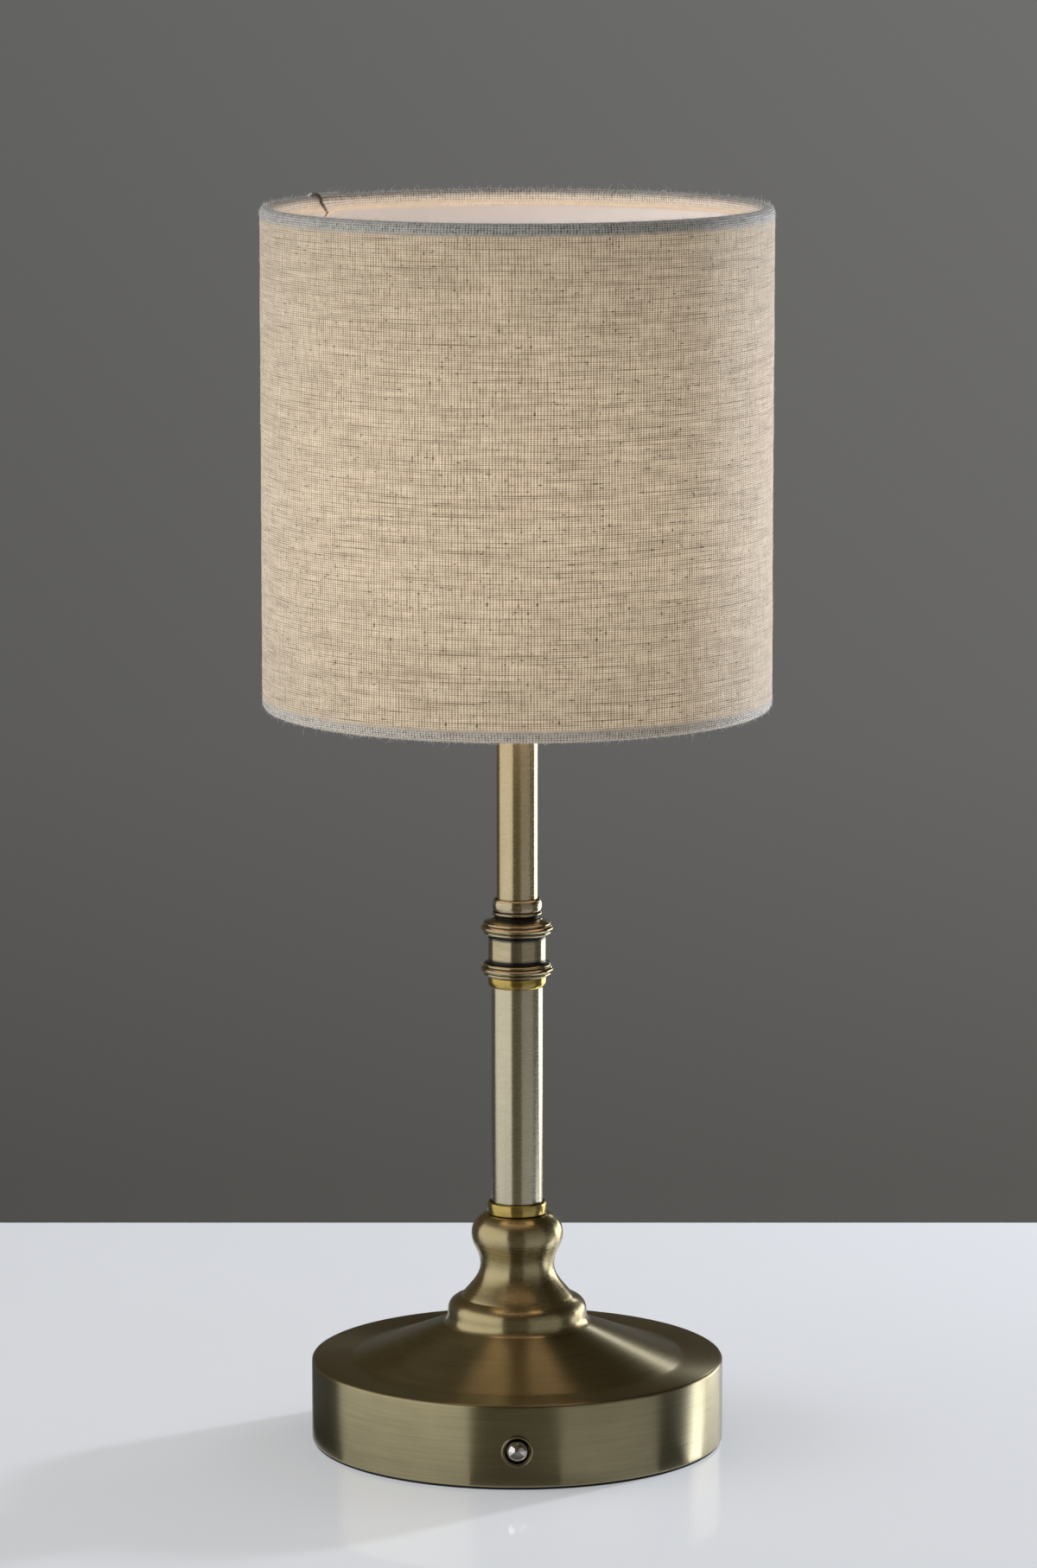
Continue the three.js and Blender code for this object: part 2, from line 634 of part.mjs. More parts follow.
function neck() {
  const outline = new THREE.Path();
  outline.moveTo(NECK_FOOT_R - NECK_WALL, 0);
  outline.lineTo(NECK_FOOT_R, 0);
  outline.quadraticCurveTo(
    NECK_FLANGE_R, NECK_FLANGE_H / 3, NECK_FLANGE_R, NECK_FLANGE_H,
  );
  outline.bezierCurveTo(
    NECK_FLANGE_R, NECK_FLANGE_H + 2.6, NECK_STEP_R + 2.2, NECK_STEP_H - 0.6,
    NECK_STEP_R, NECK_STEP_H,
  );
  outline.bezierCurveTo(
    NECK_STEP_R - 1.2, NECK_STEP_H + 2.6, NECK_WAIST_R, NECK_WAIST_H - 4.2,
    NECK_WAIST_R, NECK_WAIST_H,
  );
  outline.bezierCurveTo(
    NECK_WAIST_R, NECK_WAIST_H + 5.1, NECK_BULB_R, NECK_BULB_H - 3.9, NECK_BULB_R, NECK_BULB_H,
  );
  outline.bezierCurveTo(
    NECK_BULB_R, NECK_BULB_H + 3.4, NECK_TOP_R + 2.4, NECK_H - 0.7, NECK_TOP_R, NECK_H,
  );
  outline.lineTo(rodHoleR, NECK_H);
  outline.lineTo(rodHoleR, NECK_H - NECK_WALL);
  outline.lineTo(NECK_WAIST_R - NECK_WALL, NECK_BULB_H);
  outline.lineTo(NECK_WAIST_R - NECK_WALL, NECK_STEP_H);
  return revolve(outline.getPoints(3), MEDIUM);
}

function addColumn(lamp) {
  const lowerTube = ring(
    LOWER_TUBE_R, LOWER_TUBE_R - TUBE_WALL, 0, LOWER_TUBE_L, MEDIUM,
  );
  const upperTube = ring(
    UPPER_TUBE_R, UPPER_TUBE_R - TUBE_WALL, 0, UPPER_TUBE_L, MEDIUM,
  );
  const cap = cup(LOWER_TUBE_R, CAP_H, 0, CUP_WALL * 0.9).rotateX(Math.PI);
  lamp.add(
    mesh("neck", neck(), BRASS, 0, 0, neckZ),
    mesh("neck_ring", cup(LOWER_TUBE_R, NECK_RING_H, 0.1, 0.3), BRIGHT_BRASS, 0, 0, neckRingZ),
    mesh("lower_tube", lowerTube, PALE_BRASS, 0, 0, lowerTubeZ),
    mesh("knuckle_cap", cap, BRIGHT_BRASS, 0, 0, capTop),
    mesh("knuckle", knuckle(), BRASS, 0, 0, knuckleZ),
    mesh("tube_collar", cup(UPPER_TUBE_R, COLLAR_H, COLLAR_BULGE, 0.3), BRASS, 0, 0, collarZ),
    mesh("upper_tube", upperTube, BRASS, 0, 0, upperTubeZ),
    mesh("threaded_rod", ring(ROD_R, ROD_BORE_R, rodZ, rodTop, 20), STEEL),
  );
}

// Spun shell with three bosses under its rim, and the openings for the button, the charging
// socket and its light.
function baseShell() {
  const outline = new THREE.Path();
  const slopeX = (coneFootR + landR) / 2;
  const slopeZ = (rimZ + landZ) / 2 - 2 * CONE_HOLLOW;
  outline.moveTo(shellInsideR, FOOT_REVEAL);
  outline.lineTo(BASE_R - LOWER_EDGE_R, FOOT_REVEAL);
  outline.quadraticCurveTo(BASE_R, FOOT_REVEAL, BASE_R, FOOT_REVEAL + LOWER_EDGE_R);
  outline.lineTo(BASE_R, rimZ - TOP_EDGE_R);
  outline.quadraticCurveTo(BASE_R, rimZ, BASE_R - TOP_EDGE_R, rimZ);
  outline.lineTo(coneFootR, rimZ);
  outline.quadraticCurveTo(slopeX, slopeZ, landR, landZ);
  outline.lineTo(rodHoleR, landZ);
  outline.lineTo(rodHoleR, landZ - SHEET);
  outline.lineTo(landR, landZ - SHEET);
  outline.quadraticCurveTo(slopeX, slopeZ - SHEET, coneFootR, rimZ - SHEET);
  outline.lineTo(shellInsideR, rimZ - SHEET);
  const shell = revolve(outline.getPoints(2), FINE);
  const bossZ = trayTop + GAP;
  const bossTop = rimZ - SHEET / 2;
  const bosses = screwPlaces.map(({ x, y }) => rod(postR, bossZ, bossTop, SMALL, x, y));
  const holes = screwPlaces.map(({ x, y }) =>
    rod(screwHoleR, bossZ - 1, rimZ - 2 * SHEET, SMALL, x, y),
  );
  const throughWall = (radius, sides) =>
    new THREE.CylinderGeometry(radius, radius, WALL_CUT, sides);
  const buttonHole = throughWall(BARREL_R + GAP, 20).translate(0, -BASE_R, BUTTON_Z);
  const lightHole = throughWall(CHARGE_LIGHT_R + GAP, SMALL)
    .translate(CHARGE_LIGHT_X, BASE_R, usbZ);
  const slotR = USB_H / 2 + GAP;
  const slotX = USB_W / 2 + GAP - slotR;
  const slot = new THREE.Shape()
    .absarc(slotX, 0, slotR, -Math.PI / 2, Math.PI / 2, false)
    .absarc(-slotX, 0, slotR, Math.PI / 2, 1.5 * Math.PI, false);
  const usbHole = new THREE.ExtrudeGeometry(slot, {
    depth: WALL_CUT,
    bevelEnabled: false,
    curveSegments: 8,
  })
    .rotateX(Math.PI / 2)
    .translate(0, BASE_R + WALL_CUT / 2, usbZ);
  return cut(join(shell, ...bosses), ...holes, buttonHole, lightHole, usbHole);
}

function footDisc(thickness, holeR) {
  const holes = screwPlaces.map(({ x, y }) => rod(holeR, -1, thickness + 1, SMALL, x, y));
  return cut(rod(plateR, 0, thickness, FINE), ...holes);
}

function footScrew() {
  const tip = SCREW_HEAD_T + SCREW_L;
  return revolve(
    [[0, 0], [SCREW_HEAD_R * 0.7, 0], [SCREW_HEAD_R, 0.4], [SCREW_HEAD_R, SCREW_HEAD_T],
      [SCREW_R, SCREW_HEAD_T], [SCREW_R, tip - 1], [SCREW_R * 0.5, tip], [0, tip]],
    SMALL,
  );
}

function addFoot(lamp) {
  const headTop = plateZ - GAP;
  lamp.add(
    mesh("base_shell", baseShell(), BRASS),
    mesh("foot_pad", footDisc(PAD_T, SCREW_HEAD_R + GAP), FOAM),
    mesh("bottom_plate", footDisc(PLATE_T, screwHoleR), STEEL, 0, 0, plateZ),
    mesh("ballast_disc", rod(ballastR, 0, BALLAST_T, FINE), IRON, 0, 0, ballastZ),
    mesh("base_washer", ring(WASHER_R, rodHoleR, 0, WASHER_T, 20), STEEL, 0, 0, baseWasherZ),
    mesh("base_nut", hexNut(NUT_FLATS, rodHoleR, NUT_T), STEEL, 0, 0, baseNutZ),
  );
  screwPlaces.forEach(({ x, y }, i) => {
    lamp.add(mesh(`foot_screw_${i + 1}`, footScrew(), STEEL, x, y, headTop - SCREW_HEAD_T));
  });
}

const boardPosts = [-1, 1].flatMap((side) =>
  [0, 1].map((row) => ({
    x: side * (BOARD_W / 2 - BOARD_POST_INSET),
    y: boardFrontY + BOARD_POST_INSET + row * BOARD_POST_PITCH,
  })),
);
const boardScrewPlaces = [boardPosts[0], boardPosts[3]];
const switchBoardY =
  -BASE_R + BUTTON_SINK + BUTTON_SKIRT + BUTTON_STEM_L + GAP + PLUNGER_PROUD + SWITCH_T + GAP;
const switchBoardZ = trayTop + GAP;

// Moulded tray on the ballast: screw posts, the cell's cradle, the board's posts and the
// grooved bracket of the switch board.
function innerTray() {
  const ears = screwPlaces.flatMap(({ x, y, angle }) => [
    rod(postR, ballastZ, trayTop, SMALL, x, y),
    new THREE.BoxGeometry(postR + BALLAST_MARGIN + 4, 2 * postR, TRAY_T)
      .translate(screwCircleR - (postR + BALLAST_MARGIN + 4) / 2, 0, trayZ + TRAY_T / 2)
      .rotateZ(angle),
  ]);
  const endWalls = [-1, 1].map((side) =>
    block(CRADLE_WALL, CELL_R * 1.7, CRADLE_H + TRAY_T, side * (cradleX + CRADLE_WALL / 2), cellY,
      trayZ),
  );
  const rails = [-1, 1].map((side) =>
    block(CELL_L * 0.7, CRADLE_WALL, CRADLE_H / 2 + TRAY_T, 0,
      cellY + side * (CELL_R + GAP + CRADLE_WALL / 2), trayZ),
  );
  const posts = boardPosts.map(({ x, y }) => rod(BOARD_POST_R, trayZ, boardZ - GAP, 10, x, y));
  const grooveX = SWITCH_BOARD_W / 2 + GAP;
  const brackets = [-1, 1].map((side) =>
    block(BRACKET_W, BRACKET_D, SWITCH_BOARD_H + TRAY_T,
      side * (grooveX - BRACKET_GRIP + BRACKET_W / 2), switchBoardY + SWITCH_BOARD_T / 2, trayZ),
  );
  const groove = block(2 * grooveX, SWITCH_BOARD_T + 2 * GAP, SWITCH_BOARD_H + TRAY_T, 0,
    switchBoardY + SWITCH_BOARD_T / 2, trayTop);
  const screwHoles = screwPlaces.map(({ x, y }) =>
    rod(screwHoleR, ballastZ - 1, trayTop + 1, SMALL, x, y),
  );
  const boardHoles = boardScrewPlaces.map(({ x, y }) =>
    rod(BOARD_SCREW_R + GAP, trayZ - 1, boardZ, 8, x, y),
  );
  const body = join(rod(ballastR, trayZ, trayTop, FINE), ...ears, ...endWalls, ...rails,
    ...posts, ...brackets);
  return cut(body, groove, ...screwHoles, ...boardHoles);
}

function batteryCell() {
  const bodyL = CELL_L - CELL_NUB_T;
  return revolve(
    [[0, 0], [CELL_R - 0.5, 0], [CELL_R, 0.5], [CELL_R, bodyL - 0.5], [CELL_R - 0.5, bodyL],
      [CELL_NUB_R, bodyL], [CELL_NUB_R, CELL_L], [0, CELL_L]],
    24,
  )
    .translate(0, 0, -CELL_L / 2)
    .rotateY(Math.PI / 2);
}

function controlBoard() {
  const outline = new THREE.Shape()
    .moveTo(-BOARD_W / 2, boardFrontY)
    .lineTo(BOARD_W / 2, boardFrontY)
    .lineTo(BOARD_W / 2, boardBackY)
    .lineTo(-BOARD_W / 2, boardBackY);
  outline.holes = boardScrewPlaces.map(({ x, y }) =>
    new THREE.Path().absarc(x, y, BOARD_SCREW_R + GAP, 0, 2 * Math.PI, true),
  );
  return new THREE.ExtrudeGeometry(outline, {
    depth: BOARD_T,
    bevelEnabled: false,
    curveSegments: 8,
  });
}

// Charging socket: a flat tube with round sides, closed at the back, and its tongue.
function usbSocket() {
  const tubeShape = (grow) => {
    const endR = USB_H / 2 + grow;
    const endX = USB_W / 2 - USB_H / 2;
    return new THREE.Shape()
      .absarc(endX, 0, endR, -Math.PI / 2, Math.PI / 2, false)
      .absarc(-endX, 0, endR, Math.PI / 2, 1.5 * Math.PI, false);
  };
  const slab = (grow, depth) =>
    new THREE.ExtrudeGeometry(tubeShape(grow), { depth, bevelEnabled: false, curveSegments: 8 })
      .rotateX(Math.PI / 2);
  const socket = cut(slab(0, USB_L), slab(-USB_WALL, USB_L - 1).translate(0, 0.01, 0));
  const tongue = new THREE.BoxGeometry(USB_W - USB_H, USB_L - 1, USB_TONGUE_T)
    .translate(0, -(USB_L + 1) / 2, 0);
  return join(socket, tongue);
}

function boardScrew() {
  return revolve(
    [[0, 0], [BOARD_SCREW_R, 0], [BOARD_SCREW_R, BOARD_SCREW_L], [2, BOARD_SCREW_L],
      [2, BOARD_SCREW_L + 0.7], [1.4, BOARD_SCREW_L + 1.1], [0, BOARD_SCREW_L + 1.1]],
    10,
  );
}

function addElectrics(lamp) {
  const contactH = CRADLE_H + CONTACT_RISE;
  const contact = block(CONTACT_T, CONTACT_W, contactH, 0, 0, GAP);
  const middle = contactX + CONTACT_T / 2;
  const light = new THREE.CylinderGeometry(CHARGE_LIGHT_R, CHARGE_LIGHT_R, CHARGE_LIGHT_L, 10);
  lamp.add(
    mesh("inner_tray", innerTray(), BLACK_PLASTIC),
    mesh("battery_cell", batteryCell(), CELL_WRAP, 0, cellY, cellZ),
    mesh("battery_contact_plus", contact, STEEL, middle, cellY, trayTop),
    mesh("battery_contact_minus", contact.clone(), STEEL, -middle, cellY, trayTop),
    mesh("control_board", controlBoard(), GREEN_BOARD, 0, 0, boardZ),
    mesh("lead_terminal", block(TERMINAL_W, TERMINAL_D, TERMINAL_H, 0, TERMINAL_D / 2, 0),
      WHITE_PLASTIC, 0, terminalY, terminalZ),
    mesh("charging_socket", usbSocket(), STEEL, 0, usbMouthY, usbZ),
    mesh("charging_light", light, WHITE_PLASTIC, CHARGE_LIGHT_X, BASE_R - CHARGE_LIGHT_L / 2,
      usbZ),
  );
  boardScrewPlaces.forEach(({ x, y }, i) => {
    const z = boardTop + GAP - BOARD_SCREW_L;
    lamp.add(mesh(`board_screw_${i + 1}`, boardScrew(), STEEL, x, y, z));
  });
}

function leadAlong(points, steps) {
  const curve = new THREE.CatmullRomCurve3(points.map((p) => new THREE.Vector3(...p)));
  return wire(curve, LEAD_R, 6, steps);
}

function addLeads(lamp) {
  const entryY = terminalY - GAP;
  const overCell = cellZ + CELL_R + LEAD_R + GAP;
  const switchBack = switchBoardY + SWITCH_BOARD_T + GAP;
  const contactTopZ = cradleTop + CONTACT_RISE / 2;
  const rodEnd = ledBoardZ - GAP;
  for (const side of [-1, 1]) {
    const sign = side > 0 ? "plus" : "minus";
    const finish = side > 0 ? RED_LEAD : BLACK_LEAD;
    const inner = side * LED_LEAD_X;
    const toLight = leadAlong([
      [(side * TERMINAL_PITCH) / 2, entryY, leadZ],
      [inner, entryY - LEAD_OUT, leadZ + LEAD_R],
      [inner, ROD_R, leadZ + LEAD_OUT / 2],
      [inner, 0, rodZ - GAP],
      [inner, 0, rodZ + LEAD_RISE],
      [inner, 0, (rodZ + rodEnd) / 2],
      [inner, 0, rodEnd],
    ], 26);
    const switchX = side * 1.5 * TERMINAL_PITCH;
    const toSwitch = leadAlong([
      [switchX, entryY, leadZ],
      [switchX * 1.2, entryY - LEAD_OUT, leadZ + LEAD_R],
      [side * LEAD_SIDE, LEAD_SIDE / 2, leadZ + LEAD_OUT],
      [side * LEAD_SIDE, cellY + CELL_R / 2, overCell + GAP],
      [side * LEAD_SIDE * 0.9, cellY - CELL_R * 0.65, overCell - 2 * LEAD_R],
      [side * LEAD_SIDE * 0.4, switchBack + LEAD_SIDE, leadZ + LEAD_SIDE * 0.4],
      [(side * SWITCH_BOARD_W) / 6, switchBack, switchBoardZ + SWITCH_BOARD_H - 3 * LEAD_R],
    ], 18);
    const outer = contactX + CONTACT_T + GAP;
    const toCell = leadAlong([
      [side * 2.5 * TERMINAL_PITCH, entryY, leadZ],
      [side * 2.9 * TERMINAL_PITCH, entryY - LEAD_OUT, leadZ],
      [side * LEAD_CORNER_X, LEAD_CORNER_Y, leadZ - LEAD_R],
      [side * (outer + LEAD_LOOP * 0.7), LEAD_CORNER_Y / 4, leadZ + 2 * LEAD_R],
      [side * (outer + LEAD_LOOP), cellY + CELL_R, contactTopZ - LEAD_R],
      [side * (outer + LEAD_LOOP * 0.6), cellY + LEAD_R, contactTopZ],
      [side * outer, cellY, contactTopZ],
    ], 16);
    lamp.add(
      mesh(`light_lead_${sign}`, toLight, finish),
      mesh(`switch_lead_${sign}`, toSwitch, finish),
      mesh(`battery_lead_${sign}`, toCell, finish),
    );
  }
}

// Ball-headed button on its stem. Heights are outwards from the wall's face.
function buttonCap() {
  const skirtZ = -BUTTON_SINK - BUTTON_SKIRT;
  const outline = new THREE.Path();
  outline.moveTo(0, skirtZ - BUTTON_STEM_L);
  outline.lineTo(BUTTON_STEM_R, skirtZ - BUTTON_STEM_L);
  outline.lineTo(BUTTON_STEM_R, skirtZ);
  outline.lineTo(BUTTON_R, skirtZ);
  outline.lineTo(BUTTON_R, -BUTTON_SINK);
  outline.absarc(0, -BUTTON_SINK, BUTTON_R, 0, Math.PI / 2, false);
  const points = outline.getPoints(2);
  points.at(-1).x = 0;
  return revolve(points, 20);
}

// Bezel with a dished face, and the barrel that goes through the wall.
function buttonBezel() {
  const boreR = BUTTON_R + GAP;
  const stemHoleR = BUTTON_STEM_R + GAP;
  const face = GAP + BEZEL_T;
  const floorZ = BARREL_FLOOR - BARREL_L;
  return revolve(
    [[stemHoleR, -BARREL_L], [BARREL_R, -BARREL_L], [BARREL_R, GAP], [BEZEL_R, GAP],
      [BEZEL_R, face - 0.3], [BEZEL_R - 0.3, face], [BARREL_R + 0.2, face], [boreR, -0.2],
      [boreR, floorZ], [stemHoleR, floorZ]],
    20,
  );
}

class Helix extends THREE.Curve {
  constructor(radius, low, high, turns) {
    super();
    Object.assign(this, { radius, low, high, turns });
  }

  getPoint(t, target = new THREE.Vector3()) {
    const angle = 2 * Math.PI * this.turns * t;
    const z = this.low + (this.high - this.low) * t;
    return target.set(this.radius * Math.cos(angle), this.radius * Math.sin(angle), z);
  }
}

function buttonSpring() {
  const low = BARREL_FLOOR - BARREL_L + GAP + SPRING_WIRE_R;
  const high = -BUTTON_SINK - BUTTON_SKIRT - GAP - SPRING_WIRE_R;
  const line = new Helix(SPRING_COIL_R, low, high, SPRING_TURNS);
  return wire(line, SPRING_WIRE_R, 5, SPRING_TURNS * 8);
}

function addButton(lamp) {
  const button = new THREE.Group();
  button.position.set(0, -BASE_R, BUTTON_Z);
  button.rotation.x = Math.PI / 2;
  const nutSag = BASE_R - Math.sqrt(BASE_R ** 2 - (BUTTON_NUT_FLATS / 2) ** 2);
  const nutTop = -SHEET - nutSag - 2 * GAP;
  const stemEnd = -BUTTON_SINK - BUTTON_SKIRT - BUTTON_STEM_L;
  const plungerTop = stemEnd - GAP;
  const switchTop = plungerTop - PLUNGER_PROUD;
  const plungerEnd = switchTop - PLUNGER_SUNK;
  const pocketEnd = plungerEnd - BUTTON_TRAVEL - GAP;
  const switchBody = cut(
    block(SWITCH_W, SWITCH_W, SWITCH_T, 0, 0, switchTop - SWITCH_T),
    rod(PLUNGER_R + GAP, pocketEnd, switchTop + 1, SMALL),
  );
  const nut = hexNut(BUTTON_NUT_FLATS, BARREL_R + GAP, BUTTON_NUT_T);
  const clip = ring(CLIP_R, BUTTON_STEM_R + GAP, 0, CLIP_T, SMALL);
  button.add(
    mesh("button_cap", buttonCap(), CHROME),
    mesh("button_bezel", buttonBezel(), CHROME),
    mesh("button_nut", nut, STEEL, 0, 0, nutTop - BUTTON_NUT_T),
    mesh("button_clip", clip, STEEL, 0, 0, -BARREL_L - GAP - CLIP_T),
    mesh("button_spring", buttonSpring(), STEEL),
    mesh("switch_plunger", rod(PLUNGER_R, plungerEnd, plungerTop, SMALL), WHITE_PLASTIC),
    mesh("switch_body", switchBody, BLACK_PLASTIC),
  );
  lamp.add(button);
  const board = block(SWITCH_BOARD_W, SWITCH_BOARD_T, SWITCH_BOARD_H, 0, SWITCH_BOARD_T / 2, 0);
  lamp.add(mesh("switch_board", board, GREEN_BOARD, 0, switchBoardY, switchBoardZ));
}

const lamp = new THREE.Group();
addFoot(lamp);
addElectrics(lamp);
addButton(lamp);
addColumn(lamp);
addHead(lamp);
addLeads(lamp);
addShade(lamp);

export default lamp;
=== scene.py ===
"""Cordless table lamp with a linen drum shade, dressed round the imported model."""
import random
from math import atan2, ceil, cos, pi, radians, sin

import bmesh
import bpy
from mathutils import Matrix, Vector, noise


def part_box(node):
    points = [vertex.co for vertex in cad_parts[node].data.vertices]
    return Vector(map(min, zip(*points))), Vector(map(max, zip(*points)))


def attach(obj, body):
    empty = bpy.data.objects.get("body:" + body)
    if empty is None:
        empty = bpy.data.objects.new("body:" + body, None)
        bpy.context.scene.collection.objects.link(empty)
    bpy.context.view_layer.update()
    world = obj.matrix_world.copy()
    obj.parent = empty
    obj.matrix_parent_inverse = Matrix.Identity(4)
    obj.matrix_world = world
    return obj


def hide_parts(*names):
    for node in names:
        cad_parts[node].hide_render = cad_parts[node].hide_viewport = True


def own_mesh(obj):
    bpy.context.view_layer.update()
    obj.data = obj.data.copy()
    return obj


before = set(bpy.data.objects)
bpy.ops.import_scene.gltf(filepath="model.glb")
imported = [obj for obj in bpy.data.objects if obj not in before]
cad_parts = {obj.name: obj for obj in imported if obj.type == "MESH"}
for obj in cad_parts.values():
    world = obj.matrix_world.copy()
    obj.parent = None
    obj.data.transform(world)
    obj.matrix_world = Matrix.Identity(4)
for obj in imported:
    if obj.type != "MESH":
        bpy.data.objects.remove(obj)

scene, ops = bpy.context.scene, bmesh.ops
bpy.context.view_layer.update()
MM = 0.001
FULL_TURN = 2 * pi

# Sizes that the part's source holds too, in mm
SHADE_R = 77.6
LINEN_T = 0.6
RIM_R = 2.0  # radius of the hem's rolled edge
HOOP_R = SHADE_R - RIM_R
HEM_TURN_IN = 7.0
SEAM_ANGLE = radians(146)
SEAM_WIDTH = 11.0
BASE_R = 63.5
ROD_HOLE_R = 5.3
BUTTON_Z = 12.0
BARREL_R = 4.1

# Sizes and looks of the dressed lamp alone, in mm
TOP_TURN_IN = 5.0  # less than the part's, so that the lining shows up to it
CLOTH_R = SHADE_R - LINEN_T / 2
CLOTH_WIDTH = FULL_TURN * CLOTH_R + SEAM_WIDTH
# painted shadow, partly: the foot's black edge stands in for the shadow under the base as well as
# showing the foam
FOOT_R = 63.0  # wider than the part's, so that its dark edge shows
LIGHT_PEAK_Z = 296.0
LIGHT_REACH = 115.0


def span_of(node):
    """Lowest and highest level of a CAD node, in mm."""
    low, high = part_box(node)
    return low.z / MM, high.z / MM


def middle_of(node):
    """Middle of a CAD node, in mm."""
    low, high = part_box(node)
    return (low + high) / 2 / MM


SHADE_Z, SHADE_TOP_Z = span_of("shade_linen")
FOOT_WIRE_Z, TOP_WIRE_Z = SHADE_Z + RIM_R, SHADE_TOP_Z - RIM_R


def placed(name, data):
    """An object of some data, linked to the scene."""
    made = bpy.data.objects.new(name, data)
    scene.collection.objects.link(made)
    return made


# Camera

def aim(thing, target):
    thing.rotation_euler = (Vector(target) - thing.location).to_track_quat("-Z", "Y").to_euler()


camera = placed("camera", bpy.data.cameras.new("camera"))
camera.location = (0.0004, -1.9896, 0.52)
aim(camera, (0.0004, 0, 0.205))
camera.data.sensor_width = 36
camera.data.lens = 151.5
scene.camera = camera


# Node tools

def operator(name, swapped=False):
    """An operator of Signal, which places a math node."""
    def of_two(self, other):
        return self.kit.math(name, *((other, self) if swapped else (self, other)))
    return of_two


class Signal:
    """What a node gives out. Sums, differences, products and quotients place more nodes."""

    def __init__(self, kit, socket):
        self.kit, self.socket = kit, socket

    __add__ = __radd__ = operator("ADD")
    __mul__ = operator("MULTIPLY")
    __sub__, __rsub__ = operator("SUBTRACT"), operator("SUBTRACT", True)
    __truediv__, __rtruediv__ = operator("DIVIDE"), operator("DIVIDE", True)

    def span(self, low, high, to_low=0.0, to_high=1.0, smooth=False):
        """The value taken from one range to another, and held at its ends."""
        kind = "SMOOTHSTEP" if smooth else "LINEAR"
        inputs = enumerate((self, low, high, to_low, to_high))
        return self.kit.place("MapRange", inputs, interpolation_type=kind)[0]

    def split(self):
        parts = self.kit.place("SeparateXYZ", {0: self})
        return parts[0], parts[1], parts[2]


class Kit:
    """Places and links the nodes of one material or effect."""

    def __init__(self, tree):
        self.tree = tree

    def feed(self, socket, value):
        if isinstance(value, Signal):
            self.tree.links.new(value.socket, socket)
        else:
            socket.default_value = (*value, 1) if socket.type == "RGBA" else value

    def fill(self, node, **inputs):
        """Feeds a node's inputs by name, where _ stands for a space."""
        for name, value in inputs.items():
            self.feed(node.inputs[name.replace("_", " ")], value)

    def surface(self, **inputs):
        """Feeds the material's shader."""
        self.fill(self.tree.nodes["Principled BSDF"], **inputs)

    def given(self, node):
        """What a node gives out, by number and by name."""
        sockets = [*enumerate(node.outputs), *node.outputs.items()]
        return {key: Signal(self, socket) for key, socket in sockets}

    def place(self, kind, inputs=(), **settings):
        node = self.tree.nodes.new("ShaderNode" + kind)
        for name, value in settings.items():
            setattr(node, name, value)
        for name, value in dict(inputs).items():
            self.feed(node.inputs[name], value)
        return self.given(node)

    def use(self, tree, **inputs):
        named = {name.replace("_", " "): value for name, value in inputs.items()}
        return self.place("Group", named, node_tree=tree)

    def math(self, operation, *values):
        return self.place("Math", enumerate(values), operation=operation)[0]

    def vector(self, *xyz):
        return self.place("CombineXYZ", enumerate(xyz))[0]

    def radius(self, x, y):
        return self.math("SQRT", x * x + y * y)

    def noise(self, spot, scale=1.0, detail=2.0, roughness=0.5):
        """Noise at a vector or at three values."""
        at = self.vector(*spot) if isinstance(spot, tuple) else spot
        inputs = {"Vector": at, "Scale": scale, "Detail": detail, "Roughness": roughness}
        return self.place("TexNoise", inputs, noise_dimensions="3D")["Fac"]

    def cells(self, spot, scale, feature="F1"):
        return self.place("TexVoronoi", {"Vector": spot, "Scale": scale}, feature=feature)

    def blend(self, factor, a, b, mode="MIX"):
        settings = {"data_type": "RGBA", "blend_type": mode, "clamp_factor": True}
        return self.place("Mix", {0: factor, 6: a, 7: b}, **settings)[2]

    def scaled(self, colour, value):
        return self.place("VectorMath", {0: colour, "Scale": value}, operation="SCALE")[0]

    def bump(self, height, relief, strength):
        inputs = {"Height": height, "Distance": relief * MM, "Strength": strength}
        return self.place("Bump", inputs)["Normal"]

    def object_mm(self):
        """The piece's own coordinates, in mm."""
        return self.scaled(self.place("TexCoord")["Object"], 1 / MM)


def effect(name, inputs, outputs):
    """A shader node group: (its tree, a kit, what comes in, the node that it leaves by)."""
    tree = bpy.data.node_groups.new(name, "ShaderNodeTree")
    for label, value in inputs.items():
        kind = "NodeSocketVector" if isinstance(value, tuple) else "NodeSocketFloat"
        tree.interface.new_socket(label, in_out="INPUT", socket_type=kind).default_value = value
    for label in outputs:
        tree.interface.new_socket(label, in_out="OUTPUT", socket_type="NodeSocketFloat")
    kit = Kit(tree)
    entry = kit.given(tree.nodes.new("NodeGroupInput"))
    return tree, kit, entry, tree.nodes.new("NodeGroupOutput")


def make_turned_brushing():
    """Fine lines left by brushing a piece while it turns, and broader patches."""
    tree, kit, given, leaving = effect(
        "turned_brushing", {"Lines per mm": 5.0, "Line Length": 3.0}, ["Lines", "Patches"])
    x, y, z = kit.object_mm().split()
    radius = kit.radius(x, y)
    safe = kit.math("MAXIMUM", radius, 0.01)
    across = (z + radius * 1.31) * given["Lines per mm"]
    turn_x, turn_y, length = x / safe, y / safe, given["Line Length"]
    fine = kit.noise((turn_x * length, turn_y * length, across), detail=3, roughness=0.65)
    coarse = kit.noise((turn_x * 2, turn_y * 2, across * 0.22))
    kit.fill(leaving, Lines=(fine * 0.62 + coarse * 0.38).span(0.3, 0.7),
             Patches=kit.noise(kit.object_mm(), 0.09, detail=3))
    return tree


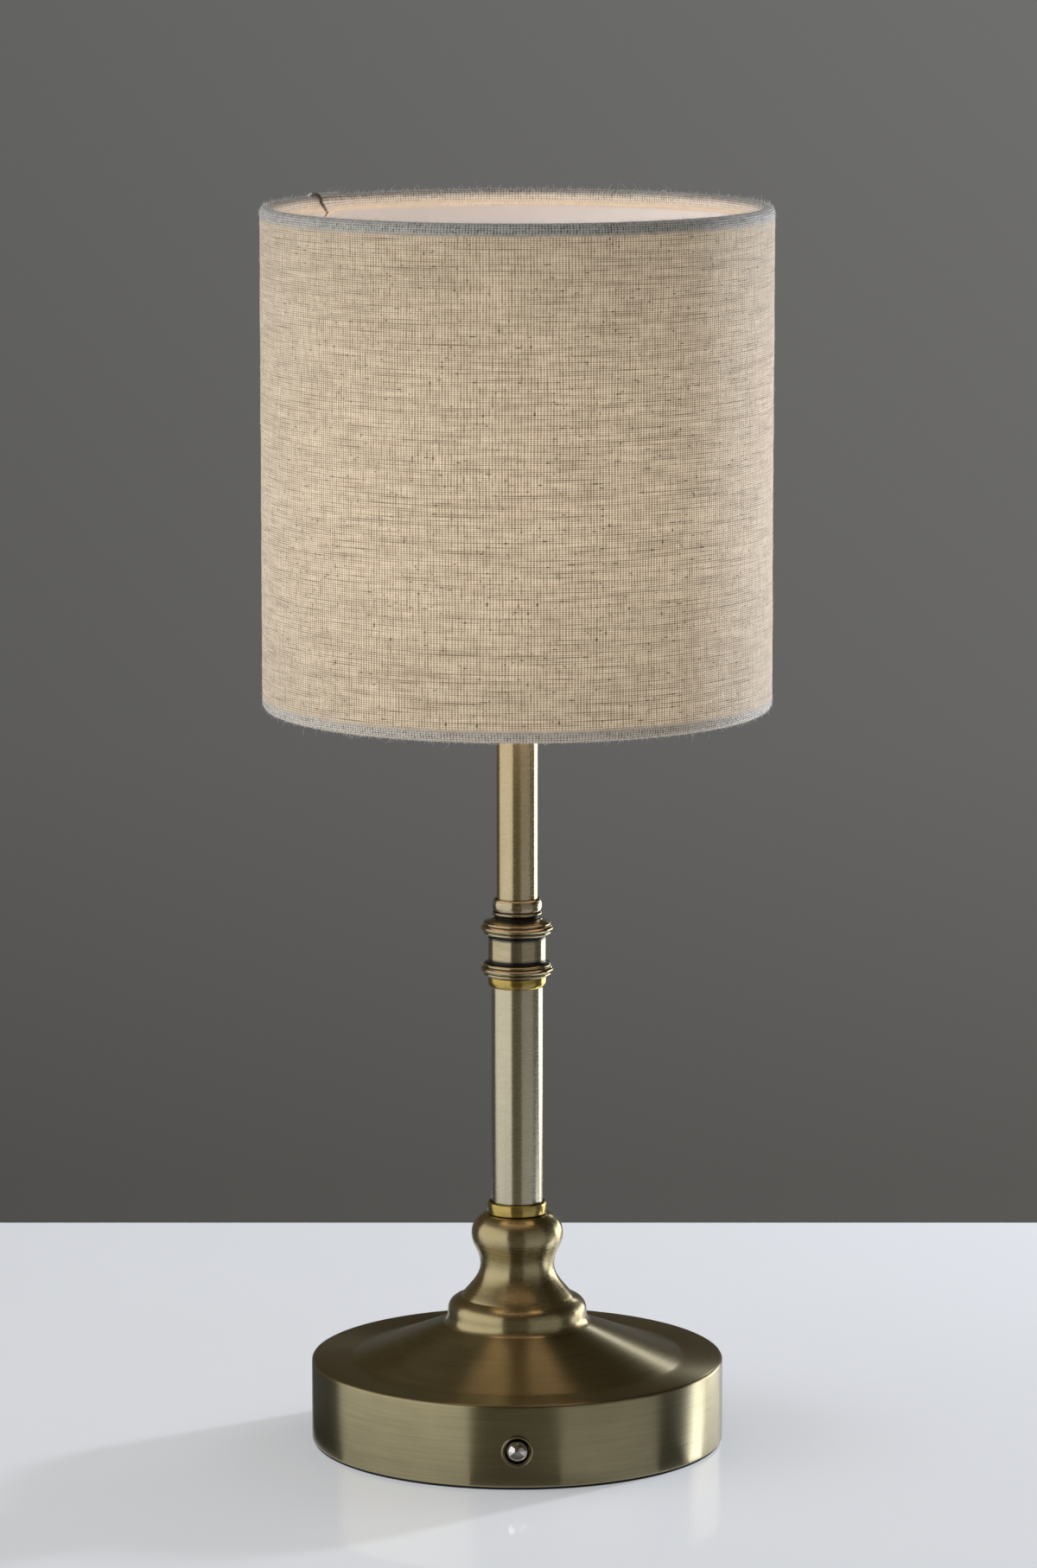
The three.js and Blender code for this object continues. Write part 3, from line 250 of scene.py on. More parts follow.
def make_grain():
    """Fine even grain of moulded plastic, foam, paint or cast metal."""
    tree, kit, given, leaving = effect(
        "surface_grain", {"Grains per mm": 3.0}, ["Grain", "Clouds"])
    spot = kit.object_mm()
    kit.fill(leaving, Grain=kit.noise(spot, given["Grains per mm"], detail=3, roughness=0.6),
             Clouds=kit.noise(spot, 0.12, detail=3))
    return tree


def make_weave():
    """Plain linen weave on a map in mm. Warp threads run up and down, weft threads go round.
    Cover is 1 on a thread and 0 in a hole, Through is the part of the light inside that comes
    out, Tone is the paleness of the thread on top, and Tint tells one thread from the next."""
    tree, kit, given, leaving = effect(
        "linen_weave", {"Map": (0, 0, 0), "Warp Pitch": 0.93, "Weft Pitch": 0.635},
        ["Cover", "Height", "Through", "Tone", "Tint", "Knots", "Flecks"])
    u, v, _ = given["Map"].split()
    warp = u / given["Warp Pitch"] + kit.noise((u * 0.05, v * 0.03, 3.1)) * 0.9
    weft = v / given["Weft Pitch"] + kit.noise((u * 0.02, v * 0.06, 7.7)) * 1.2
    warp_number, weft_number = (kit.math("FLOOR", way) for way in (warp, weft))

    def threads(own, number, cross, spots, half, edge, lift, knot, stop):
        """The threads of one way: cover, height, knots, light let past, fullness and tint."""
        side = kit.math("ABSOLUTE", kit.math("FRACT", own) - 0.5)
        run, lumps, tint = (kit.noise(spot, detail=fine) for spot, fine in zip(spots, (4, 1, 1)))
        width = run.span(0.25, 0.75, *half)
        on = 1 - (side - width).span(*edge)
        # each thread is round and goes over and under its neighbours in turn
        wave = kit.math("COSINE", (cross + number) * pi)
        across = kit.math("POWER", side / width, 2.0)
        crown = kit.math("SQRT", kit.math("MAXIMUM", 1 - across, 0.0))
        past = 1 - on * run.span(0.25, 0.75, *stop)
        knots = lumps.span(*knot, smooth=True) * on
        return on, (crown + wave * lift) * on, knots, past, on * run, tint

    warp_spots = ((warp_number * 7.31, v * 0.27, 1.7), (warp_number * 3.31, v * 0.45, 12.3),
                  (warp_number * 9.17, v * 0.05, 21.0))
    weft_spots = ((u * 0.06, weft_number * 5.77, 4.9), (u * 0.42, weft_number * 4.19, 15.1),
                  (u * 0.05, weft_number * 8.63, 24.0))
    on, height, knots, past, fullness, tint = zip(
        threads(warp, warp_number, weft, warp_spots, (0.355, 0.4), (-0.12, 0.1), 0.35,
                (0.71, 0.8), (0.51, 0.69)),
        threads(weft, weft_number, warp, weft_spots, (0.275, 0.4), (-0.14, 0.12), -0.35,
                (0.655, 0.75), (0.3, 0.82)))
    knots = kit.math("MAXIMUM", *knots)
    spots = kit.cells(kit.vector(u * 0.55, v * 0.9, 0.3), 0.22)
    rare, weight, _ = spots["Color"].split()
    dot = 1 - spots["Distance"].span(0.02, 0.08)
    dark = kit.math("GREATER_THAN", rare, 0.5) * kit.math("POWER", weight, 2.0)
    kit.fill(leaving, Cover=1 - (1 - on[0]) * (1 - on[1]), Knots=knots, Flecks=dot * dark,
             Through=past[0] * past[1] * (1 - knots * 0.8), Height=kit.math("MAXIMUM", *height),
             Tone=kit.math("MAXIMUM", *fullness).span(0.3, 0.7, 1.0, 0.0),
             Tint=((tint[0] + tint[1]) * 0.5).span(0.3, 0.7))
    return tree


BRUSHING, GRAIN, WEAVE = make_turned_brushing(), make_grain(), make_weave()
MATERIAL = {}


def grey(value):
    return value, value, value


def new_material(name):
    """A kit for a new material, which is kept in MATERIAL."""
    made = MATERIAL[name] = bpy.data.materials.new(name)
    made.use_nodes = True
    return Kit(made.node_tree)


def brushed_metal(name, bright, dull, recess, roughness, per_mm=5.0, length=1.0, anisotropy=0.88,
                  relief=0.0004, wear=0.06):
    """Plated metal brushed round the Z axis, with so many lines per mm. Recess is its colour
    down in the grooves, and wear is how far its roughness changes from line to line."""
    kit = new_material(name)
    brushing = kit.use(BRUSHING, Lines_per_mm=per_mm, Line_Length=length)
    lines, patches = brushing["Lines"], brushing["Patches"]
    hollow = kit.place("Attribute", attribute_name="recess")["Fac"]
    metal = kit.blend((lines * 0.6 + patches * 0.4).span(0.25, 0.75), dull, bright)
    stain = (hollow + patches * 0.3).span(0.3, 0.85)
    worn = lines.span(0.0, 1.0, roughness * (1 - wear), roughness * (1 + wear))
    kit.surface(Base_Color=kit.blend(stain, metal, recess), Roughness=worn + stain * 0.15,
                Metallic=1, Anisotropic=anisotropy, Anisotropic_Rotation=0.25,
                Tangent=kit.place("Tangent", direction_type="RADIAL", axis="Z")[0],
                Normal=kit.bump(lines, relief, 0.6))


def grained(name, colour, other, rough, relief, strength, grains, fine=0.0, **inputs):
    """A material with a fine grain, whose colour drifts between two. Fine is the grain's share
    in that."""
    kit = new_material(name)
    grain = kit.use(GRAIN, Grains_per_mm=grains)
    drift = grain["Clouds"]
    if fine:
        drift = (drift * (1 - fine) + grain["Grain"] * fine).span(0.3, 0.7)
    kit.surface(Base_Color=kit.blend(drift, colour, other),
                Roughness=grain["Grain"].span(0.2, 0.8, *rough),
                Normal=kit.bump(grain["Grain"], relief, strength), **inputs)
    return kit


def plain_metal(name, bright, dull, roughness, grains=2.0, relief=0.01):
    """Polished, plated or machined metal with a faint cloudiness."""
    rough = (roughness * 0.8, roughness * 1.25)
    grained(name, dull, bright, rough, relief, 0.5, grains, Metallic=1)


def moulded(name, colour, other, roughness, grains=3.0, relief=0.02, metallic=0.0):
    """Plastic, paint, cast metal or cable insulation with a fine grain."""
    rough = (roughness * 0.85, roughness * 1.15)
    grained(name, colour, other, rough, relief, 0.7, grains, 0.4, Metallic=metallic)


def lamplight(z):
    """How brightly the painted glow of the lit lamp shows at a level of the shade, 1 at its peak.
    """
    away = (z - LIGHT_PEAK_Z) / LIGHT_REACH
    return 1 / (1 + away * away)


def linen_material():
    """Oatmeal linen over a white lining. The lamp's glow is painted light, emitted through the
    holes of the weave and a little through the threads, but not through the doubled hems."""
    kit = new_material("oatmeal_linen")
    flat = kit.place("UVMap", uv_map="cloth_mm")["UV"]
    weave = kit.use(WEAVE, Map=flat)
    cover, through, tone = weave["Cover"], weave["Through"], weave["Tone"]
    spot = kit.object_mm()
    x, y, z = spot.split()
    # the hems, where the wire and the folded cloth stop the light
    ragged = kit.noise(spot, 0.5, detail=3) - 0.5
    from_top, from_foot = SHADE_TOP_Z - z - ragged, z - SHADE_Z - ragged
    open_cloth = kit.math("MINIMUM", from_top, from_foot).span(2.6, 4.6, smooth=True)
    # front-lit threads
    thread = kit.blend(tone, (0.25, 0.18, 0.11), (0.45, 0.38, 0.29))
    tint = kit.blend(weave["Tint"], (0.93, 1.0, 0.94), (1.1, 0.97, 0.93))
    thread = kit.blend(0.6, thread, tint, "MULTIPLY")
    thread = kit.blend(weave["Knots"] * 0.75, thread, (0.13, 0.085, 0.045))
    hem_thread = kit.blend(tone, (0.6, 0.57, 0.515), (0.86, 0.82, 0.745))
    felted = kit.noise(spot, 0.9, detail=3).span(0.38, 0.62, 1.0, 0.35)
    # painted shade: the gaps of the doubled hem are darkened, for the unlit cloth behind them
    hem_gap_shade = through.span(0.14, 0.5) * felted
    hem_thread = kit.blend(hem_gap_shade, hem_thread, (0.05, 0.05, 0.048))
    thread = kit.blend(open_cloth, hem_thread, thread)
    thread = kit.blend(weave["Flecks"], thread, (0.02, 0.012, 0.008))
    inside = kit.radius(x, y).span(76.3, 75.9)
    # painted shadow: the free cut edge of the flap inside the upper hem is darkened brown
    cut_edge_shadow = flat.split()[0].span(CLOTH_WIDTH - 1.5, CLOTH_WIDTH - 0.5) * inside
    thread = kit.blend(cut_edge_shadow, thread, (0.13, 0.09, 0.045))
    # painted shade in the holes: nearly black in the hems, for the unlit cloth behind, and in the
    # open cloth darker than the lining behind
    hole = kit.blend(open_cloth, (0.03, 0.029, 0.027), (0.62, 0.56, 0.47))
    # painted light: the lamp's glow through the cloth, emitted by the cloth itself
    clouds = kit.noise(spot, 0.07, detail=4, roughness=0.6).span(0.25, 0.75, 0.95, 1.05)
    light = through * (1 - weave["Flecks"] * 0.95) * clouds * lamplight(z) * open_cloth
    hue = kit.blend(cover, (1.0, 0.91, 0.76), (1.0, 0.755, 0.49))
    # painted light: a faint glow on the threads of the lower hem, fading within 5 mm of the foot
    low_hem_glow = from_foot.span(0.0, 5.0, 0.16, 0.0) * cover
    # painted light: the flap inside the upper hem faces the lamp, and is given a glow of its own
    flap = inside * from_top.span(0.5, 2.4, smooth=True) * (1 - cut_edge_shadow * 0.9)
    facing = kit.scaled((0.4, 0.325, 0.255), flap * through.span(0.1, 0.6, 1.0, 0.5))
    glow = {0: kit.scaled(hue, light + low_hem_glow), 1: facing}
    kit.surface(Base_Color=kit.blend(cover, hole, thread), Roughness=0.92,
                Emission_Color=kit.place("VectorMath", glow, operation="ADD")[0],
                Emission_Strength=0.98, Specular_IOR_Level=0.25,
                Sheen_Weight=open_cloth.span(0.0, 1.0, 0.32, 0.52),
                Sheen_Roughness=0.45, Sheen_Tint=(0.97, 0.98, 1.0),
                Normal=kit.bump(weave["Height"] + kit.noise(spot, 9.0) * 0.6, 0.24, 0.9))


def lining_material():
    """Smooth white film behind the linen, with the lamp's light on it painted in as a glow."""
    kit = grained("white_lining", (0.78, 0.75, 0.735), (0.86, 0.84, 0.825), (0.4, 0.55), 0.05,
                  0.4, 1.2, Emission_Strength=0.13)
    z = kit.object_mm().split()[2]
    lit = kit.blend(z.span(290, 330, smooth=True), (5.0, 2.7, 0.92), (0.86, 0.97, 1.12))
    kit.surface(Emission_Color=kit.scaled(lit, lamplight(z)))


def lit_dome_material():
    kit = grained("frosted_dome", (0.86, 0.84, 0.8), (0.92, 0.9, 0.86), (0.45, 0.6), 0.02, 0.5,
                  4.0, Emission_Strength=0.9)
    z = kit.object_mm().split()[2]
    low, high = span_of("light_diffuser")
    lit = z.span(low + 2, high, 0.35, 1.0, smooth=True)
    kit.surface(Emission_Color=kit.scaled((1.0, 0.8, 0.52), lit))


def circuit_board_material(name, mask, copper):
    """Solder mask with tracks that show through it."""
    kit = new_material(name)
    x, y, z = kit.object_mm().split()
    cells = kit.cells(kit.vector(x, y, z * 0.3), 0.28, "DISTANCE_TO_EDGE")["Distance"]
    track = 1 - cells.span(0.05, 0.09)
    grain = kit.use(GRAIN, Grains_per_mm=3.0)
    base = kit.blend(grain["Clouds"], mask, tuple(0.8 * c for c in mask))
    kit.surface(Base_Color=kit.blend(track * 0.5, base, copper),
                Roughness=grain["Grain"].span(0.2, 0.8, 0.3, 0.45),
                Normal=kit.bump(track, 0.04, 0.6))


def foam_material():
    kit = new_material("black_foam")
    clouds = kit.use(GRAIN, Grains_per_mm=1.6)["Clouds"]
    cells = kit.cells(kit.object_mm(), 2.2)["Distance"]
    kit.surface(Base_Color=kit.blend(clouds, grey(0.008), (0.02, 0.02, 0.021)),
                Roughness=cells.span(0.1, 0.6, 0.8, 0.98),
                Normal=kit.bump(cells, 0.12, 0.7))


TARNISH = (0.03, 0.022, 0.012)
brushed_metal("base_brass", (0.44, 0.39, 0.235), (0.34, 0.3, 0.175), TARNISH, 0.3, 4.0, 3.0,
              relief=0.0008, wear=0.1)
brushed_metal("antique_brass", (0.55, 0.47, 0.275), (0.45, 0.38, 0.205), TARNISH, 0.28,
              length=1.4, relief=0.002, wear=0.2)
brushed_metal("warm_brass", (0.62, 0.53, 0.33), (0.53, 0.44, 0.26), TARNISH, 0.27, 6.0)
brushed_metal("pale_brass", (0.62, 0.575, 0.43), (0.54, 0.495, 0.36), (0.05, 0.04, 0.03), 0.27,
              6.0)
brushed_metal("rose_brass", (0.55, 0.475, 0.32), (0.4, 0.345, 0.22), (0.03, 0.031, 0.032), 0.19,
              anisotropy=0.6, relief=0.001, wear=0.15)
brushed_metal("bright_brass", (0.56, 0.42, 0.13), (0.42, 0.31, 0.085), (0.05, 0.035, 0.01), 0.2,
              anisotropy=0.5, relief=0.001, wear=0.2)
for row in (
        ("chrome", (0.86, 0.86, 0.87), (0.78, 0.78, 0.79), 0.06, 2.0, 0.002),
        ("bezel_nickel", (0.6, 0.54, 0.4), (0.48, 0.43, 0.31), 0.16, 2.0, 0.004),
        ("zinc_steel", grey(0.62), (0.5, 0.5, 0.51), 0.32, 1.4),
        ("aluminium", (0.75, 0.75, 0.76), (0.62, 0.62, 0.63), 0.3, 2.2)):
    plain_metal(*row)
for row in (
        ("cast_iron", (0.1, 0.097, 0.092), (0.16, 0.15, 0.14), 0.6, 1.2, 0.12, 0.7),
        ("black_plastic", (0.013, 0.013, 0.014), (0.025, 0.025, 0.026), 0.5, 2.5, 0.03),
        ("white_plastic", (0.76, 0.75, 0.72), (0.84, 0.83, 0.8), 0.45, 2.5),
        ("led_phosphor", (0.8, 0.6, 0.1), (0.86, 0.68, 0.16), 0.35, 3.0, 0.01),
        ("cell_wrap", (0.04, 0.14, 0.36), (0.05, 0.18, 0.42), 0.3, 1.0),
        ("red_insulation", (0.38, 0.012, 0.01), (0.46, 0.02, 0.015), 0.42, 2.0),
        ("black_insulation", grey(0.012), grey(0.022), 0.42, 2.0),
        ("flax_fibre", (0.8, 0.79, 0.78), (0.62, 0.58, 0.53), 0.7, 0.4, 0.0),
        ("white_enamel", (0.74, 0.74, 0.72), (0.8, 0.8, 0.78), 0.32, 1.5, 0.03)):
    moulded(*row)
circuit_board_material("green_board", (0.012, 0.1, 0.035), (0.05, 0.22, 0.08))
circuit_board_material("white_board", (0.8, 0.8, 0.78), (0.66, 0.66, 0.62))
foam_material()
lit_dome_material()
linen_material()
lining_material()


# Shapes

def moved(x, y, z):
    """A move in mm."""
    return Matrix.Translation(Vector((x, y, z)) * MM)


class Outline:
    """Half section of a turned piece, as (radius, height over a level) in mm, going up the
    outside."""

    def __init__(self, r, z, level=0.0):
        self.level, self.points = level, []
        self.to(r, z)

    def to(self, r, z, soft=0.0):
        """A straight line, whose end is rounded over a length of soft."""
        self.points.append((r, self.level + z, soft))
        return self

    def bend(self, *controls, steps=12):
        """A Bezier curve through one or two control points to an end."""
        knots = [Vector(self.points[-1][:2]), *(Vector((r, self.level + z)) for r, z in controls)]
        for i in range(1, steps + 1):
            mids = knots
            while len(mids) > 1:
                mids = [a.lerp(b, i / steps) for a, b in zip(mids, mids[1:])]
            self.points.append((*mids[0], 0.0))
        return self

    def arc(self, r, z, radius_r, start, end, steps=8, radius_z=None):
        """Part of an ellipse round (r, z), between two angles in degrees."""
        radius_z = radius_z or radius_r
        for i in range(steps + 1):
            turn = radians(start + (end - start) * i / steps)
            self.to(r + radius_r * cos(turn), z + radius_z * sin(turn))
        return self

    def rounded(self, longest=None):
        """The points, with each softened corner replaced by a short curve, and long straight
        runs divided where a longest step is given."""
        made = []
        for i, (r, z, soft) in enumerate(self.points):
            here = Vector((r, z))
            if not soft:
                made.append(here)
                continue
            before = Vector(self.points[i - 1][:2])
            after = Vector(self.points[(i + 1) % len(self.points)][:2])
            start = here.lerp(before, min(0.45, soft / (before - here).length))
            end = here.lerp(after, min(0.45, soft / (after - here).length))
            for k in range(5):
                t = k / 4
                made.append(start.lerp(here, t).lerp(here.lerp(end, t), t))
        slim = [made[0]]
        for p in made[1:]:
            if (p - slim[-1]).length > 1e-4:
                slim.append(p)
        if (slim[0] - slim[-1]).length < 1e-4:
            slim.pop()
        if not longest:
            return slim
        fine = []
        for p, q in zip(slim, slim[1:] + slim[:1]):
            parts = max(1, ceil((q - p).length / longest))
            fine += [p.lerp(q, k / parts) for k in range(parts)]
        return fine


def limited(value):
    return min(1.0, max(0.0, value))


def recess_of(points, groove):
    """How dark with patina each point of an outline is, from 0 to 1. A groove is a depth below
    what stands beside it, or a function of a point, which may add painted shade."""
    if callable(groove):
        return [limited(groove(p)) for p in points]
    if not groove:
        return [0.0] * len(points)
    slope, reach, found = 1.3, 3, []
    for p in points:
        near = [q.x - slope * abs(q.y - p.y) for q in points if abs(q.y - p.y) < reach]
        found.append(limited((max(near) - p.x) / groove))
    return found


def spun(outline, steps=128, groove=0.0):
    """A bmesh of an outline turned about Z, with a layer for the patina in its grooves."""
    bm = bmesh.new()
    recess = bm.verts.layers.float.new("recess")
    points = outline.rounded(0.6 if groove else None)
    verts = []
    for p, sunk in zip(points, recess_of(points, groove)):
        vert = bm.verts.new((p.x * MM, 0, p.y * MM))
        vert[recess] = sunk
        verts.append(vert)
    pairs = list(zip(verts, verts[1:]))
    if max(points[0].x, points[-1].x) >= 1e-6:
        pairs.append((verts[-1], verts[0]))
    edges = [bm.edges.new(pair) for pair in pairs]
    ops.spin(bm, geom=verts + edges, cent=(0, 0, 0), axis=(0, 0, 1), dvec=(0, 0, 0),
             angle=FULL_TURN, steps=steps, use_merge=True, use_duplicate=False)
    ops.remove_doubles(bm, verts=bm.verts, dist=1e-7)
    ops.recalc_face_normals(bm, faces=bm.faces)
    return bm


def loose(name, bm):
    """A bmesh, which is used up, as an object."""
    mesh = bpy.data.meshes.new(name)
    bm.to_mesh(mesh)
    bm.free()
    return placed(name, mesh)


def keep(name, bm, material, node=None, body="lamp", sharp=35, place=None):
    """Turns a bmesh into a piece with the material, on a body, and hides the CAD node it
    replaces.
    """
    if place is not None:
        ops.transform(bm, matrix=place, verts=bm.verts)
    piece = loose(name, bm)
    piece.data.shade_smooth()
    piece.data.set_sharp_from_angle(angle=radians(sharp))
    piece.data.materials.append(MATERIAL[material])
    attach(piece, body)
    if node:
        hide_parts(node)
    return piece


def applied(thing):
    """A bmesh of an object as it ends up."""
    graph = bpy.context.evaluated_depsgraph_get()
    bm = bmesh.new()
    bm.from_mesh(thing.evaluated_get(graph).to_mesh())
    return bm


def carved(bm, *cutters):
    """The bmesh with the cutters' shapes taken out of it."""
    body = loose("body_to_carve", bm)
    tools = [loose("cutter", cutter) for cutter in cutters]
    for tool in tools:
        step = body.modifiers.new("carve", "BOOLEAN")
        step.operation, step.solver, step.object = "DIFFERENCE", "EXACT", tool
    result = applied(body)
    for thing in [body, *tools]:
        bpy.data.objects.remove(thing)
    ops.remove_doubles(result, verts=result.verts, dist=1e-6)
    return result


def new_wire(name, radius, sides):
    """A curve for round wires, without any yet."""
    curve = bpy.data.curves.new(name, "CURVE")
    curve.dimensions = "3D"
    curve.bevel_depth, curve.bevel_resolution = radius * MM, sides
    curve.use_fill_caps = True
    return curve


def drawn(curve, seam=1e-7):
    """A bmesh of a curve, which is used up."""
    thing = placed(curve.name, curve)
    bm = applied(thing)
    bpy.data.objects.remove(thing)
    bpy.data.curves.remove(curve)
    ops.remove_doubles(bm, verts=bm.verts, dist=seam)
    return bm


def bent_wire(name, points, radius, sides=6):
    """A round wire along points in mm, as a bmesh."""
    curve = new_wire(name, radius, sides)
    line = curve.splines.new("NURBS")
    line.points.add(len(points) - 1)
    for knot, point in zip(line.points, points):
        knot.co = (*(Vector(point) * MM), 1)
    line.order_u, line.resolution_u, line.use_endpoint_u = 4, 10, True
    return drawn(curve)


def drum(radius, low, high, sides=48, x=0.0, y=0.0):
    """A closed round bar, upright, in mm."""
    bm = bmesh.new()
    place = moved(x, y, (low + high) / 2)
    ops.create_cone(bm, cap_ends=True, segments=sides, radius1=radius * MM,
                    radius2=radius * MM, depth=(high - low) * MM, matrix=place)
    return bm


def ease(bm, edges, width, segments):
    """Rounds edges of a bmesh over a width in mm."""
    ops.bevel(bm, geom=edges, offset=width * MM, segments=segments, profile=0.5,
              affect="EDGES", material=-1)


def brick(size, centre, bevel=0.0, segments=2):
    """A box in mm, with its edges rounded."""
    bm = bmesh.new()
    place = moved(*centre) @ Matrix.Diagonal(Vector((*size, 1000)) * MM)
    ops.create_cube(bm, size=1, matrix=place)
    if bevel:
        ease(bm, bm.edges, bevel, segments)
    return bm


def lying(bm, y, z):
    """Turns an upright shape so that its top faces -Y, at a point of the front wall."""
    place = moved(0, y, z) @ Matrix.Rotation(pi / 2, 4, "X")
    ops.transform(bm, matrix=place, verts=bm.verts)
    return bm


def merged(first, *others):
    """One bmesh of several, which may touch."""
    for part in others:
        other = loose("part", part)
        first.from_mesh(other.data)
        bpy.data.meshes.remove(other.data)
    return first


# Base

def foot_screw_places():
    for number in (1, 2, 3):
        x, y, _ = middle_of(f"foot_screw_{number}")
        yield number, x, y


def make_base():
    foot, top = span_of("base_shell")
    rim, wall, half_deep, screw_hole_r = 26.1, 1, 4, 3.9
    shell = Outline(BASE_R - wall, foot)
    shell.to(BASE_R, foot, 0.5).to(BASE_R, rim, 1.1)
    shell.to(51.4, rim, 2.2).bend((40, rim + 3.8), (30, rim + 8.1), (21.5, top), steps=24)
    shell.to(ROD_HOLE_R, top).to(ROD_HOLE_R, top - wall).to(21.1, top - wall)
    shell.bend((29.6, rim + 7.1), (39.6, rim + 2.8), (51.2, rim - wall), steps=16)
    shell.to(BASE_R - wall, rim - wall, 0.4)
    button_hole = lying(drum(BARREL_R + 0.3, -half_deep, half_deep), -BASE_R, BUTTON_Z)
    port_z = middle_of("charging_socket")[2]
    port = brick((9.5, 2 * half_deep, 3.8), (0, BASE_R, port_z))
    upright = [e for e in port.edges if abs(e.verts[0].co.y - e.verts[1].co.y) > MM]
    ease(port, upright, 1.88, 8)
    light_x = middle_of("charging_light")[0]
    light_hole = lying(drum(1.3, -half_deep, half_deep, 24, light_x), BASE_R, port_z)
    bm = carved(spun(shell, 240), button_hole, port, light_hole)
    keep("spun_base", bm, "base_brass", "base_shell")

    pad = Outline(0, 0).to(FOOT_R, 0, 0.4).to(FOOT_R, 1.6, 0.2).to(0, 1.6)
    holes = [drum(screw_hole_r, -1, 3, 48, x, y) for _, x, y in foot_screw_places()]
    keep("foam_foot", carved(spun(pad, 160), *holes), "black_foam", "foot_pad")


def make_foot_screws():
    head_r, shank_r, root_r, pitch, slot = 3.6, 1.9, 1.62, 1.1, 0.75
    for number, x, y in foot_screw_places():
        low, high = span_of(f"foot_screw_{number}")
        high -= low
        side = Outline(0, 0, low).to(2.6, 0, 0.3).to(head_r, 0.6, 0.3).to(head_r, 1.2)
        side.to(shank_r, 1.2)
        for k in range(12):
            z = 2 + k * pitch
            side.to(shank_r, z).to(root_r, z + 0.4).to(shank_r, z + 0.8)
        side.to(shank_r, high - 1).to(0.9, high).to(0, high)
        cross = [brick((w, d, 1.6), (0, 0, low), 0.12) for w, d in ((3.6, slot), (slot, 3.6))]
        bm = carved(spun(side, 32), *cross)
        keep(f"screw_{number}", bm, "zinc_steel", f"foot_screw_{number}",
             place=moved(x, y, 0))


# Column

def make_neck():
    foot, high = span_of("neck")
    high -= foot
    land_r, flange_r, waist_r, bulb_r, bore = 23.0, 21.45, 11.45, 14.1, 8.4
    wall = Outline(18.2, -0.28, foot).to(21.4, -0.28).to(land_r, -0.9)
    wall.bend((21.9, -0.3), (flange_r, 0.9), (flange_r, 2.4))
    wall.bend((flange_r, 5.2), (20.6, 6.7), (17.3, 7.5), steps=16)
    wall.bend((16.0, 9.8), (waist_r, 13.1), (waist_r, 17.3), steps=14)
    wall.bend((waist_r, 22.2), (bulb_r, 23.2), (bulb_r, 27.1))
    wall.bend((bulb_r, 30.5), (12.4, 32.7), (10, high))
    wall.to(ROD_HOLE_R, high).to(ROD_HOLE_R, high - 3).to(bore, 27.1).to(bore, 7.6)
    keep("cast_neck", spun(wall, 160), "antique_brass", "neck")


def make_cup(name, node, bore, outer, lip, material, upside_down=False, bulge=0.0):
    """A cup round a tube's end, with a rounded lip."""
    low, high = span_of(node)
    height, floor = high - low, 1.0
    cup = Outline(ROD_HOLE_R, 0).to(outer, 0, 0.35)
    if bulge:
        cup.bend((outer + 2 * bulge, height / 2), (outer, height - lip), steps=10)
    else:
        cup.to(outer, height - lip)
    edge = bore + 0.12
    cup.bend((outer, height - 0.45 * lip), (edge + 0.45 * (outer - edge), height), (edge, height))
    cup.to(bore, height - 0.12).to(bore, floor, 0.15).to(ROD_HOLE_R, floor)
    bm = spun(cup, 96, groove=0.5)
    over = moved(0, 0, high) @ Matrix.Rotation(pi, 4, "X")
    keep(name, bm, material, node, place=over if upside_down else moved(0, 0, low))


def make_tube(name, node, radius, material):
    low, high = span_of(node)
    wall = Outline(radius - 0.75, low).to(radius, low, 0.15).to(radius, high, 0.15)
    wall.to(radius - 0.75, high, 0.15)
    keep(name, spun(wall, 96), material, node)


def make_knuckle():
    foot, high = span_of("knuckle")
    groove_r, fillet_r, bead_r, body_r, throat_r = 9.9, 10.45, 11.2, 8.9, 6.9
    body_low, body_high, throat, lip, lip_r = 3.8, 12.8, 18.0, high - foot - 0.9, 7.35
    turning = Outline(ROD_HOLE_R, 0, foot).to(groove_r - 0.2, 0)

    def patina_and_shade(p):
        if p.x < lip_r:
            return 1.0
        z = p.y - foot
        # painted shade: the drum darkens towards the beads at both its ends
        if p.x < groove_r - 0.1 and body_low - 0.5 < z < body_high + 0.5:
            return 1.3 - min(z - body_low, body_high - z) / 1.6
        if groove_r - 0.15 < p.x < groove_r + 0.12:
            return 0.85
        return 0.25 if z > throat - 1.4 else 0.0

    def beads(z):
        for crown, height in ((fillet_r, 1.0), (bead_r, 1.8), (fillet_r, 1.0)):
            turning.arc(groove_r, z + height / 2, crown - groove_r, -90, 90, 10, height / 2)
            z += height
        return z

    z = beads(0)
    turning.to(body_r + 0.1, z + 0.25, 0.2).to(body_r, z + 0.6)
    z += 9.0
    turning.to(body_r, z - 0.6).to(body_r + 0.1, z - 0.25, 0.2).to(groove_r - 0.15, z)
    z = beads(z)
    turning.bend((8.9, z + 0.5), (7.2, z + 0.7), (throat_r, z + 1.4), steps=10)
    turning.bend((throat_r, lip - 0.3), (7.6, lip), steps=6)
    turning.arc(lip_r, lip + 0.45, 0.3, -90, 90, 8, 0.45)
    turning.to(ROD_HOLE_R, high - foot)
    keep("turned_knuckle", spun(turning, 128, groove=patina_and_shade), "rose_brass", "knuckle")


# Button, drawn upright round its own axis and then laid to face the front

